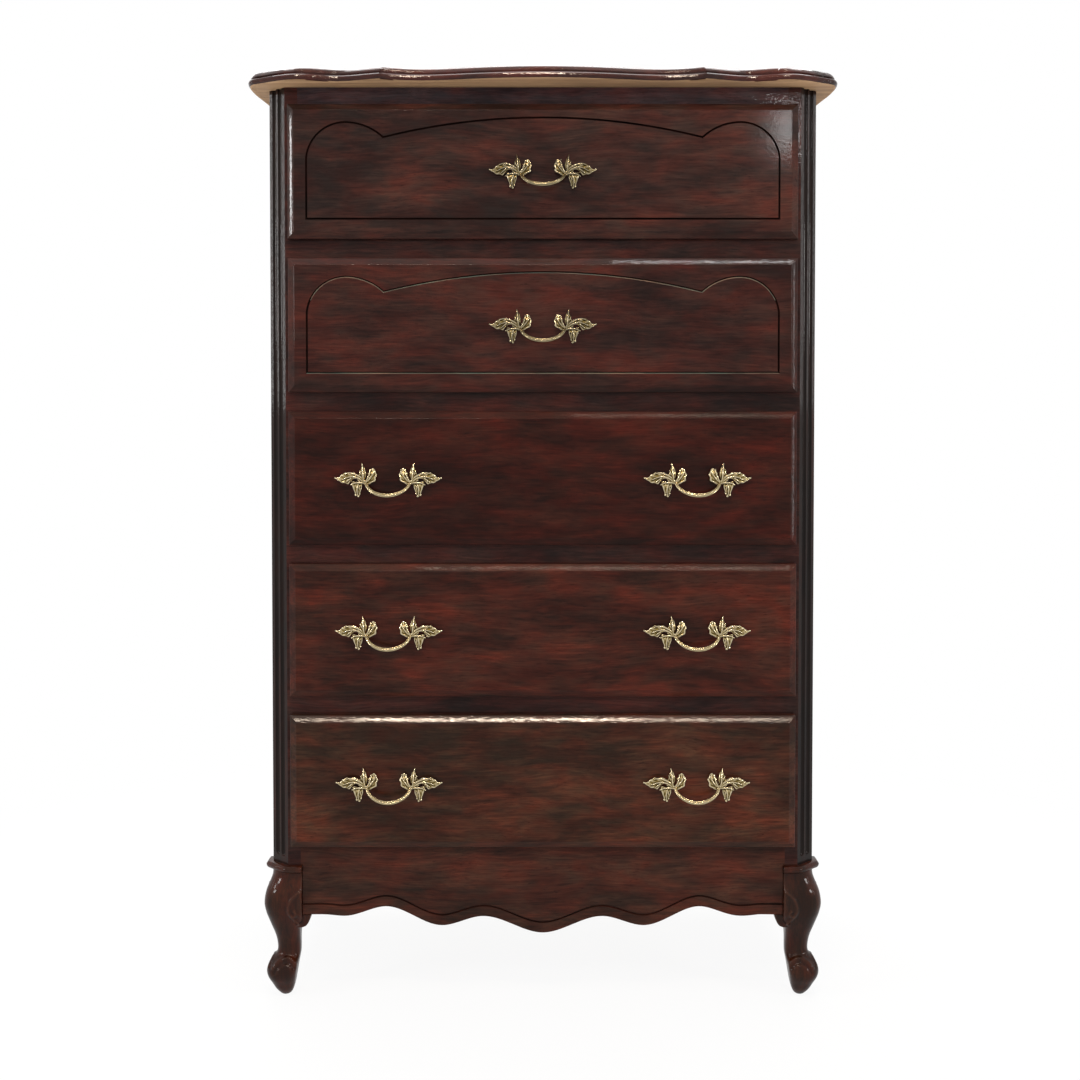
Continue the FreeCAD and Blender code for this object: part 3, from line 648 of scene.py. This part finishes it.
# Each leaf: spine points, half widths to the left and right of the spine there, heights of the midrib and of
# the raised rim, lobes, lobe depth
PULL_LEAVES = [
    ([(33, -3, 6.5), (40, 0.5, 8.5), (47, 1.8, 9.2), (54, 1.6, 9.2), (60, 0.4, 8.2), (65, -0.6, 6.8),
      (69.5, -0.4, 5.4), (73.4, 0.8, 4.6)],
     [(3, 2), (4.8, 2), (6.8, 1.8), (8, 8.6), (8, 8.4), (5.8, 5.4), (2.2, 2.2), (1, 1)], 0.4, 0.7, 5, 0.17),
    ([(34, -4, 7), (34.6, 2, 9), (34.6, 8, 8.8), (34.6, 13, 7.4), (35.2, 17, 6), (35.9, 20.4, 4.8)],
     [(2.5, 2.5), (4.2, 4.4), (5.2, 5.4), (3.6, 3.6), (1.8, 1.7), (0.7, 0.7)], 1.8, 0.5, 2, 0.12),
    ([(31, -5, 8.5), (26.5, -3.5, 10), (22.8, 1, 10.2), (21.2, 6, 9), (20.8, 10.5, 7.4), (21.2, 14.6, 5.8)],
     [(2.6, 2.6), (5, 4.4), (7.4, 6.2), (6.8, 7.4), (4.4, 5.2), (1, 1)], 0.8, 1.5, 4, 0.2),
    ([(42, -5, 7), (43.2, -10, 8.8), (43, -15.5, 8.4), (42.2, -20.5, 6.6), (41.2, -25, 5.2)],
     [(8.5, 6.5), (7.6, 6.4), (4.8, 4.8), (3.2, 3.4), (1.8, 1.8)], 1.2, 1.2, 3, 0.18),
]
# Each nub: centre and radius
PULL_NUBS = [
    ((44.8, -22.6, 6.2), 1.9),
    ((39.2, -21.0, 6.4), 1.4),
    ((41.3, -24.4, 5.6), 1.8),
    ((73.4, 0.9, 4.7), 1.5),
]
# Raised ribs on the leaves: points along each and its radius, which halves towards its end
PULL_RIBS = [
    ([(32, -5.5, 8.5), (39.5, -5.4, 9.8), (46, -6, 9.8), (52, -8.8, 8)], 1.6),
    ([(32, -4, 9), (38, 2.5, 11), (45, 6.2, 12), (53, 8.2, 11.5), (60, 6.6, 9)], 1.6),
    ([(33, -4.5, 9), (40, 0.5, 11.2), (48, 3, 12), (56, 1.8, 10.8), (63, -1.6, 8)], 1.4),
    ([(50, 1, 10.5), (54, -1.6, 10.6), (58, -5, 9)], 1.3),
    ([(33.6, -3, 9), (34.2, 5, 11.6), (34.7, 12, 10.4), (35.4, 18, 7.4), (36.2, 21.4, 5.4)], 1.5),
    ([(34.6, 2, 10), (37.6, 8, 10), (39, 12, 8.4)], 1.1),
    ([(30.4, -5, 9), (25, 0, 11.6), (20.6, 6, 12), (18, 12, 9.6)], 1.4),
    ([(30.4, -4.5, 9), (27, 2, 11.8), (25, 8, 11.2), (24.4, 13.6, 8.6)], 1.4),
    ([(40.4, -6, 8.6), (42, -12, 9.8), (42.6, -18, 9), (41.8, -24, 6.6)], 1.2),
    ([(48.6, -7, 8.4), (48, -11.6, 8.8), (46, -17, 8), (45, -22.4, 6.6)], 1.1),
    ([(36.6, -7, 8), (36.6, -12, 8.4), (38.2, -17, 7.8), (39.2, -20.6, 6.6)], 1.0),
]
RIB_POINTS = 24
PULL_HUB = ((33.2, -4.6, 6.0), 4.2)
# Post between drawer and leaves: place outward, radius and length, and shares of its length with a ring
PULL_POST = (38.1, 4.6, 8.0)
PULL_POST_SHARES = (0.0, 0.25, 0.6, 1.0)
PULL_POST_WAIST = 0.35
PULL_POST_LIFT = 0.05
BAIL_END = (30.4, -5.2, 8.0)
BAIL_MIDDLE = (0.0, -22.4, 25.0)
BAIL_FULLNESS = 1.15
BAIL_STEPS = 56
BAIL_AROUND = 36
BAIL_RADIUS = (2.1, 2.8)
BAIL_GROOVE = 0.3
GROOVE_PLACE = 0.45
GROOVE_SPREAD = 0.16
PIPE_AROUND = 14
PULL_POST_AROUND = 20
BALL_STEPS = 10
BALL_AROUND = 16
BALL_CAP = 0.04
# Turns a pull so that forward is -Y and up is Z
PULL_TURN = Matrix(((1, 0, 0, 0), (0, 0, -1, 0), (0, 1, 0, 0), (0, 0, 0, 1)))


def pipe(points, section):
    """A skin along a path; section(share) gives a ring as (sideways, upright) pairs."""
    points = [Vector(p) for p in points]
    rings = []
    for number, centre in enumerate(points):
        ahead = points[min(number + 1, len(points) - 1)]
        behind = points[max(number - 1, 0)]
        along = (ahead - behind).normalized()
        side = Vector((-along.y, along.x, 0.0)).normalized()
        upright = along.cross(side)
        pairs = section(number / (len(points) - 1))
        rings.append([tuple(centre + side * out + upright * up) for out, up in pairs])
    return loft(rings)


def circle(radius, around):
    return [(radius * math.cos(2 * math.pi * k / around), radius * math.sin(2 * math.pi * k / around))
            for k in range(around)]


def ball(centre, radius):
    """A ball with a small flat at each pole."""
    u, v, w = centre
    rings = []
    for level in range(BALL_STEPS + 1):
        angle = math.pi * (BALL_CAP + (1 - 2 * BALL_CAP) * level / BALL_STEPS)
        height = w - radius * math.cos(angle)
        rings.append([(u + p, v + q, height) for p, q in circle(radius * math.sin(angle), BALL_AROUND)])
    return loft(rings)


def leaf_shell(spine, widths, crest, rim, lobes, lobe_depth):
    """One cast leaf: a veined front with a raised, lobed rim, and a back that follows it."""
    rows = curve_through([(*p, *w) for p, w in zip(spine, widths)], LEAF_STEPS)
    rings = []
    for number, (u, v, w, left, right) in enumerate(rows):
        before = rows[max(number - 1, 0)]
        after = rows[min(number + 1, LEAF_STEPS - 1)]
        along = Vector((after[0] - before[0], after[1] - before[1])).normalized()
        share = number / (LEAF_STEPS - 1)
        wave = 0.5 + 0.5 * math.cos(2 * math.pi * lobes * share)
        notch = 1 - lobe_depth * wave * math.sin(math.pi * share)
        front = []
        back = []
        for k in range(LEAF_ACROSS):
            across = 2 * k / (LEAF_ACROSS - 1) - 1
            side = abs(across)
            reach = (left if across > 0 else right) * notch * across
            veins = math.cos(2 * math.pi * (lobes * share - VEIN_SWEEP * side)) * 4 * side * (1 - side)
            edge = math.exp(-(((side - RIM_PLACE) / RIM_SPREAD) ** 2))
            height = w + crest * (1 - side) ** CREST_POWER + rim * edge
            height -= LEAF_CURL * side ** 2 + VEIN_HEIGHT * veins
            thick = LEAF_THICKNESS * (1 - EDGE_THINNING * side ** 2) * (1 - TIP_THINNING * share)
            place = (u - along.y * reach, v + along.x * reach)
            front.append((*place, height))
            back.append((*place, height - thick))
        rings.append(front + back[::-1])
    return loft(rings)


def bail_shell():
    """The arched grip, fuller in the middle, with two grooves along its length."""
    end = Vector(BAIL_END)
    drop = Vector(BAIL_MIDDLE) - Vector((0, end.y, end.z))
    path = []
    for step in range(BAIL_STEPS + 1):
        angle = math.pi * step / BAIL_STEPS
        sag = math.sin(angle) ** BAIL_FULLNESS
        path.append(Vector((-end.x * math.cos(angle), end.y, end.z)) + drop * sag)

    def section(share):
        radius = BAIL_RADIUS[0] + (BAIL_RADIUS[1] - BAIL_RADIUS[0]) * math.sin(math.pi * share) ** 2
        ring = []
        for out, up in circle(1.0, BAIL_AROUND):
            groove = BAIL_GROOVE * math.exp(-(((abs(out) - GROOVE_PLACE) / GROOVE_SPREAD) ** 2))
            ring.append((out * radius * (1 - groove), up * radius * (1 - groove)))
        return ring

    return pipe(path, section)


def rib_shell(points, radius):
    """A rib along the points, half as thick at its end."""
    def section(share):
        return circle(radius * (1 - share / 2), PIPE_AROUND)

    return pipe(curve_through(points, RIB_POINTS), section)


def pull_end():
    """The skins of a pull's right half: post, hub, leaves, ribs and nubs."""
    post_u, post_radius, post_length = PULL_POST
    post = []
    for share in PULL_POST_SHARES:
        ring = circle(post_radius * (1 - PULL_POST_WAIST * math.sin(math.pi * share)), PULL_POST_AROUND)
        post.append([(post_u + p, q, PULL_POST_LIFT + share * post_length) for p, q in ring])
    shells = [loft(post), ball(*PULL_HUB)]
    shells += [leaf_shell(*row) for row in PULL_LEAVES]
    shells += [rib_shell(*row) for row in PULL_RIBS]
    shells += [ball(*row) for row in PULL_NUBS]
    return shells


def pull_mesh():
    """A whole pull about its own middle."""
    right = pull_end()
    left = [mirrored_shell(shell) for shell in right]
    mesh = fused(joined("pull", right + left), PULL_VOXEL, PULL_SMOOTHING)
    add_shells(mesh, [bail_shell()])
    mesh.transform(PULL_TURN)
    store_relief(mesh, PULL_RELIEF_GAIN)
    smooth_faces(mesh)
    return mesh


def make_pulls():
    pattern = pull_mesh()
    # Each drawer's pulls get their own copy of the brass; the upper two are painted darker, as painted shade
    for number, painted_light in enumerate(PULL_PAINTED_LIGHT, start=1):
        body = f"drawer_{number}"
        metal = brass(f"antique_brass_{number}", painted_light)
        mesh = pattern.copy()
        mesh.materials.append(metal)
        low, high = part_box(f"{body}_front")
        for node in (f"{body}_pull", f"{body}_left_pull", f"{body}_right_pull"):
            if node in nodes:
                dress(node, metal)
                pull_low, pull_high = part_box(node)
                made = piece(f"{node}_cast", mesh, body, node)
                made.location = ((pull_low.x + pull_high.x) / 2, low.y, (low.z + high.z) / 2)


# Front legs: millimetres, a inward from the case side, b inward from its front, z up

LEG_VOXEL = 1.0
LEG_SMOOTHING = 3
LEG_RELIEF_GAIN = 3.0
LEG_LEVELS = 70
# Height, reach outside the corner planes, depth inside them, radius of the outer corner, radius of the others
LEG_ROWS = [
    (0.0, -13.0, 23.5, 5.0, 5.0),
    (3.0, -9.5, 27.0, 8.0, 7.5),
    (9.0, -4.6, 30.0, 11.0, 9.5),
    (18.0, 0.4, 32.4, 14.0, 11.0),
    (27.0, 5.4, 34.0, 17.0, 12.0),
    (36.0, 7.6, 35.4, 19.0, 12.0),
    (45.0, 5.6, 36.8, 19.0, 12.5),
    (53.0, 0.4, 38.3, 17.0, 13.0),
    (60.0, -5.4, 39.3, 15.0, 13.0),
    (69.0, -6.6, 39.5, 15.0, 13.0),
    (84.0, -4.2, 39.5, 16.0, 12.0),
    (101.0, 1.6, 41.0, 18.0, 10.0),
    (112.0, 5.6, 44.6, 20.0, 6.0),
    (121.0, 8.4, 45.0, 21.0, 3.0),
    (134.0, 10.5, 45.0, 22.0, 2.0),
    (150.0, 8.4, 45.0, 23.0, 2.0),
    (164.0, 3.0, 45.0, 24.0, 2.0),
    (173.0, 0.3, 45.0, 25.0, 2.0),
    (184.0, 0.3, 45.0, 25.0, 2.0),
]
CORNER_STEPS = 10
# Bracket beside the knee: distance from the corner and height along its outline
LEG_EAR = [
    (30.0, 98.6), (44.0, 98.8), (49.5, 101.0), (52.6, 105.0),
    (55.2, 111.0), (57.4, 118.4), (30.0, 118.4),
]
LEG_EAR_FACE = 2.0
LEG_EAR_BACK = 21.0
LEG_EAR_EDGE = 1.4
# Carving on each of the two outer faces: points as distance from the corner and height, half width, height
LEG_CARVING = [
    ([(41, 152), (34, 146), (28, 137), (26.5, 128), (29, 121), (34, 119), (37, 122), (35, 125.5)], 2.4, 2.0),
    ([(31, 118), (36, 111), (41, 103)], 2.0, 1.6),
    ([(3, 43), (10, 51), (20, 55.5), (29, 53.5), (36, 46), (37.5, 38)], 2.4, 1.5),
    ([(5, 37), (11, 45.5), (20, 50.5), (28, 48.5), (33, 42)], 1.9, -1.2),
]
CARVING_POINTS = 60
# The carving grows where a face turns outward, from this part of its normal over this span
CARVING_FACING = (0.25, 0.4)
# Hollows on the same faces: middle, radii, height
LEG_HOLLOWS = [((37.5, 136.0), (5.5, 11.0), -3.0), ((40.5, 112.0), (3.5, 5.5), -1.4)]
# Collar: height and projection of its moulded edge
COLLAR_EDGE = [
    (189.0, 0.6), (188.9, 6.6), (188.4, 7.4), (187.0, 8.5), (185.6, 9.6), (184.6, 9.8),
    (182.0, 9.4), (180.2, 7.8), (178.8, 5.2), (178.2, 2.6), (178.0, 0.4),
]
COLLAR_CANT = 25.0
COLLAR_INNER = 45.2
COLLAR_EASE = 2.4
LEG_SHARP_ANGLE = math.radians(38.0)


def add_shells(mesh, shells):
    """Adds crisp closed skins to a finished mesh."""
    count = len(mesh.vertices)
    extra = joined("extra", shells)
    bm = bmesh.new()
    bm.from_mesh(mesh)
    bm.from_mesh(extra)
    bm.to_mesh(mesh)
    bm.free()
    bpy.data.meshes.remove(extra)
    if "relief" in mesh.attributes:
        for item in mesh.attributes["relief"].data[count:]:
            item.value = LEVEL_RELIEF


def leg_ring(z, reach, inner, outer_radius, other_radius):
    """A rounded square with one larger corner towards the case corner."""
    low = -reach
    corners = [(low, low, outer_radius, 180), (inner, low, other_radius, 270),
               (inner, inner, other_radius, 0), (low, inner, other_radius, 90)]
    ring = []
    for a, b, radius, first in corners:
        centre_a = a + radius if a == low else a - radius
        centre_b = b + radius if b == low else b - radius
        for step in range(CORNER_STEPS + 1):
            angle = math.radians(first + 90 * step / CORNER_STEPS)
            ring.append((centre_a + radius * math.cos(angle), centre_b + radius * math.sin(angle), z))
    return ring


def ear_shells():
    """Brackets under the apron's end and under the side panel's end."""
    middle = [sum(p[k] for p in LEG_EAR) / len(LEG_EAR) for k in (0, 1)]
    rings = []
    for depth, inset in ((0.0, LEG_EAR_EDGE), (LEG_EAR_EDGE, 0.0), (LEG_EAR_BACK - LEG_EAR_FACE, 0.0)):
        ring = []
        for a, z in LEG_EAR:
            pull = Vector((middle[0] - a, middle[1] - z)).normalized() * inset
            ring.append((a + pull.x, LEG_EAR_FACE + depth, z + pull.y))
        rings.append(ring)
    first = loft(rings)
    second = ([(b, a, z) for a, b, z in first[0]], first[1])
    return [first, second]


def collar_shell():
    """The moulded collar between leg and case."""
    rings = []
    for z, out in COLLAR_EDGE:
        turn = COLLAR_CANT - out * (math.sqrt(2) - 1)
        ease = COLLAR_EASE * math.sqrt(0.5)
        rings.append([
            (COLLAR_INNER, -out, z), (turn + COLLAR_EASE, -out, z), (turn - ease, ease - out, z),
            (ease - out, turn - ease, z), (-out, turn + COLLAR_EASE, z), (-out, COLLAR_INNER, z),
            (COLLAR_INNER, COLLAR_INNER, z)])
    return loft(rings)


def carve(mesh):
    """Raises and sinks the carved lines on the two outer faces of a leg."""
    lines = []
    for points, width, height in LEG_CARVING:
        lines.append((np.array(curve_through(points, CARVING_POINTS)), width, height))
    count = len(mesh.vertices)
    places = np.empty(count * 3)
    normals = np.empty(count * 3)
    mesh.vertices.foreach_get("co", places)
    mesh.vertices.foreach_get("normal", normals)
    places = places.reshape(-1, 3) / MM
    normals = normals.reshape(-1, 3)
    lift = np.zeros(count)
    for across, facing in ((0, 1), (1, 0)):
        flat = places[:, [across, 2]]
        share = np.clip((-normals[:, facing] - CARVING_FACING[0]) / CARVING_FACING[1], 0, 1)
        total = np.zeros(count)
        for points, width, height in lines:
            apart = flat[:, None, :] - points[None, :, :]
            distance = np.min(np.linalg.norm(apart, axis=2), axis=1)
            total += height * np.exp(-((distance / width) ** 2))
        for middle, radii, height in LEG_HOLLOWS:
            distance = np.linalg.norm((flat - np.array(middle)) / np.array(radii), axis=1)
            total += height * np.exp(-(distance ** 2))
        lift += share * total
    places += normals * lift[:, None]
    mesh.vertices.foreach_set("co", (places * MM).ravel())
    mesh.update()


def leg_mesh():
    """The front right leg about the case's corner, in metres."""
    rows = curve_through(LEG_ROWS, LEG_LEVELS)
    shells = [loft([leg_ring(*row) for row in rows]), *ear_shells()]
    mesh = fused(joined("leg", shells), LEG_VOXEL, LEG_SMOOTHING)
    carve(mesh)
    store_relief(mesh, LEG_RELIEF_GAIN)
    add_shells(mesh, [collar_shell()])
    smooth_faces(mesh)
    mesh.set_sharp_from_angle(angle=LEG_SHARP_ANGLE)
    return mesh


def make_legs():
    low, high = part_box("right_front_post")
    mesh = leg_mesh()
    finish = mahogany("leg_mahogany", "Z", seed=5.2, tone=LEG_TONE, gloss=LEG_GLOSS, carved=True)
    mesh.materials.append(finish)
    for side, turn in (("right", -1), ("left", 1)):
        shaped = mesh.copy()
        shaped.transform(Matrix.Diagonal((turn, 1.0, 1.0, 1.0)))
        if turn < 0:
            shaped.flip_normals()
        node = f"front_{side}_leg"
        made = piece(f"{node}_carved", shaped, "carcass", node)
        made.location = (-turn * high.x, low.y, 0.0)


# Finishes of the CAD nodes

# Least part of a unit normal that counts as facing straight out
FACING = 0.95
# Spans of the normal's forward part on the drawers' bevels and of its upward part on the top's moulding
BEVEL_FACING = (0.5, 0.95)
ARRIS_TILT = (0.35, 0.98)
ARRIS_BAND = 0.0095
# Span of depth behind a front in which its incised line lies, and half the size of the field that holds it
LINE_DEPTHS = (0.0001, 0.0018)
CARTOUCHE_REACH = (0.331, 0.077)
CARTOUCHE_DRAWERS = 2
# On this drawer the line's upturned wall is coloured pale: a painted highlight where its lower lip would
# catch the light
PAINTED_GLINT_DRAWER = 2
PAINTED_GLINT_TILT = 0.3
ANY_TILT = -1.0
# How far the front posts' corners are cut back, and the span of depth behind the cut that holds the flutes
POST_CANT = 0.025
FLUTE_DEPTHS = (0.0001, 0.0034)
FLUTE_TILT = 0.5
RAIL_COUNT = 4
DRAWER_SEED = 80.0
DRAWER_SEED_STEP = 2.3


def dress(node, material):
    mesh = nodes[node].data
    mesh.materials.clear()
    mesh.materials.append(material)


def dress_faces(node, material, chosen):
    """Gives one more material to the faces of a node that a test picks out."""
    mesh = nodes[node].data
    mesh.materials.append(material)
    slot = len(mesh.materials) - 1
    for face in mesh.polygons:
        if chosen(face):
            face.material_index = slot


def tilted(face):
    return BEVEL_FACING[0] < -face.normal.y < BEVEL_FACING[1]


def is_arris(face):
    return ARRIS_TILT[0] < face.normal.z < ARRIS_TILT[1]


def dress_line(node, material, reach, least_tilt=ANY_TILT):
    """Dresses a board's incised line near its middle, or only its upturned wall: painted shade in the line,
    or a painted highlight on that wall.
    """
    low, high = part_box(node)
    middle_z = (low.z + high.z) / 2

    def incised(face):
        inside = abs(face.center.x) < reach[0] and abs(face.center.z - middle_z) < reach[1]
        sunk = LINE_DEPTHS[0] < face.center.y - low.y < LINE_DEPTHS[1]
        return inside and sunk and face.normal.z > least_tilt

    dress_faces(node, material, incised)


def dress_flutes(node, material, corner_x):
    """Gives the flutes of a front post, what lies just behind its canted face, a darker finish: painted shade
    in the flutes.
    """
    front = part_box(node)[0].y

    def fluted(face):
        inward = abs(face.center.x - corner_x) + face.center.y - front
        depth = (inward - POST_CANT) * math.sqrt(0.5)
        return FLUTE_DEPTHS[0] < depth < FLUTE_DEPTHS[1] and abs(face.normal.z) < FLUTE_TILT

    dress_faces(node, material, fluted)


def dress_top():
    dress("top_panel", mahogany("mahogany_top", "X", seed=3.0, tone=TOP_TONE, gloss=TOP_GLOSS))
    underside = bare_wood("bare_underside", "X", seed=4.0, tones=UNDERSIDE_TONES)
    dress_faces("top_panel", underside, lambda face: face.normal.z < -FACING)
    arris = mahogany("mahogany_top_arris", "X", seed=3.0, tone=TOP_TONE, gloss=ARRIS_GLOSS)
    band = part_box("top_panel")[1].z - ARRIS_BAND
    dress_faces("top_panel", arris, lambda face: is_arris(face) and face.center.z > band)


def dress_side(side, number, rails, flutes):
    """The posts, panel and legs on one side of the case."""
    front_post = f"{side}_front_post"
    wood = mahogany(f"mahogany_{front_post}", "Z", seed=31.0 + number, tone=POST_TONE, gloss=POST_GLOSS)
    dress(front_post, wood)
    dress_faces(front_post, rails, lambda face: face.normal.y < -FACING)
    low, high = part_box(f"{side}_front_post")
    dress_flutes(front_post, flutes, high.x if side == "right" else low.x)
    rear_post = f"{side}_rear_post"
    wood = mahogany(f"mahogany_{rear_post}", "Z", seed=35.0 + number, tone=SIDE_TONE, gloss=SIDE_GLOSS)
    dress(rear_post, wood)
    wood = mahogany(f"mahogany_{side}_side", "Z", seed=41.0 + number, tone=SIDE_TONE, gloss=SIDE_GLOSS)
    dress(f"{side}_side_panel", wood)
    rear_leg = f"rear_{side}_leg"
    wood = mahogany(f"mahogany_{rear_leg}", "Z", seed=51.0 + number, tone=LEG_TONE, gloss=LEG_GLOSS)
    dress(rear_leg, wood)
    front_leg = f"front_{side}_leg"
    wood = mahogany(f"mahogany_{front_leg}", "Z", seed=53.0 + number, tone=LEG_TONE, gloss=LEG_GLOSS)
    dress(front_leg, wood)


def dress_case():
    dress_top()
    rails = mahogany("mahogany_rails", "X", seed=11.0, tone=RAIL_TONE)
    for number in range(1, RAIL_COUNT + 1):
        dress(f"drawer_rail_{number}", rails)
    # The top rail's lighter tone is painted light where the top's overhang shades it
    dress("top_rail", mahogany("mahogany_top_rail", "X", seed=13.0, tone=TOP_RAIL_PAINTED_LIGHT_TONE))
    dress("apron", mahogany("mahogany_apron", "X", seed=21.0, tone=APRON_TONE))
    # The apron's incised line is painted darker: painted shade in its groove
    apron_line_painted_shade = mahogany("mahogany_apron_line", "X", seed=92.0, tone=PAINTED_APRON_LINE_SHADE_TONE)
    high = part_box("apron")[1]
    dress_line("apron", apron_line_painted_shade, (high.x, high.z))
    # The flutes are painted darker than the posts: painted shade
    flutes = mahogany("mahogany_flutes_painted_shade", "Z", seed=33.0, tone=PAINTED_FLUTE_SHADE_TONE, gloss=POST_GLOSS)
    for number, side in enumerate(("left", "right")):
        dress_side(side, number, rails, flutes)
    dress("back_panel", bare_wood("plywood_back", "Z", seed=61.0, tones=BACK_TONES))
    dress("drawer_runners", bare_wood("bare_runners", "Y", seed=63.0))
    dress("centre_guides", bare_wood("bare_guides", "Y", seed=64.0))
    dress("rear_rails", bare_wood("bare_rear_rails", "X", seed=65.0))
    dress("leg_dowels", bare_wood("bare_dowels", "Z", seed=66.0))


def dress_front(name, seed, tone, bevel_gloss):
    """A drawer front: soft sheen on its field, a thin bright line along its upper and end bevels."""
    node = f"{name}_front"
    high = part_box(node)[1]
    dress(node, mahogany(f"mahogany_{name}", "X", seed, tone, FIELD_GLOSS))
    crown = ("Z", high.z - CROWN_INSET)
    bevel = mahogany(f"mahogany_{name}_bevel", "X", seed, tone, bevel_gloss, crown=crown)
    dress_faces(node, bevel, lambda face: tilted(face) and face.normal.z > abs(face.normal.x))
    crown = ("X", high.x - CROWN_INSET)
    end_bevel = mahogany(f"mahogany_{name}_end_bevel", "X", seed, tone, END_BEVEL_GLOSS, crown=crown)
    dress_faces(node, end_bevel, lambda face: tilted(face) and abs(face.normal.x) > abs(face.normal.z))


def dress_drawers():
    # The top drawers' incised lines are painted near black: painted shade in the grooves
    line_painted_shade = mahogany("mahogany_incised_lines_painted_shade", "X", seed=91.0, tone=PAINTED_LINE_SHADE_TONE, gloss=LINE_GLOSS)
    # A pale finish: the painted highlight on the upturned wall of one drawer's incised line
    glint = mahogany("mahogany_line_painted_glint", "X", seed=93.0, tone=PAINTED_GLINT_TONE, gloss=LINE_GLOSS)
    metal = steel("plated_steel")
    sides = bare_wood("bare_drawer_sides", "Y", seed=71.0)
    backs = bare_wood("bare_drawer_backs", "X", seed=72.0)
    bottoms = bare_wood("plywood_drawer_bottoms", "X", seed=73.0, tones=BOTTOM_TONES)
    for number, (tone, bevel_gloss) in enumerate(zip(DRAWER_TONES, BEVEL_GLOSSES), start=1):
        name = f"drawer_{number}"
        dress_front(name, DRAWER_SEED + number * DRAWER_SEED_STEP, tone, bevel_gloss)
        if number <= CARTOUCHE_DRAWERS:
            dress_line(f"{name}_front", line_painted_shade, CARTOUCHE_REACH)
        # Painted highlight: the upturned wall of this drawer's line is coloured pale
        if number == PAINTED_GLINT_DRAWER:
            dress_line(f"{name}_front", glint, CARTOUCHE_REACH, PAINTED_GLINT_TILT)
        dress(f"{name}_left_side", sides)
        dress(f"{name}_right_side", sides)
        dress(f"{name}_back", backs)
        dress(f"{name}_bottom", bottoms)
        dress(f"{name}_pull_screws", metal)


bpy.context.scene.view_settings.view_transform = "Standard"
make_camera()
make_lamps()
make_world()
make_floor()
dress_case()
dress_drawers()
make_pulls()
make_legs()
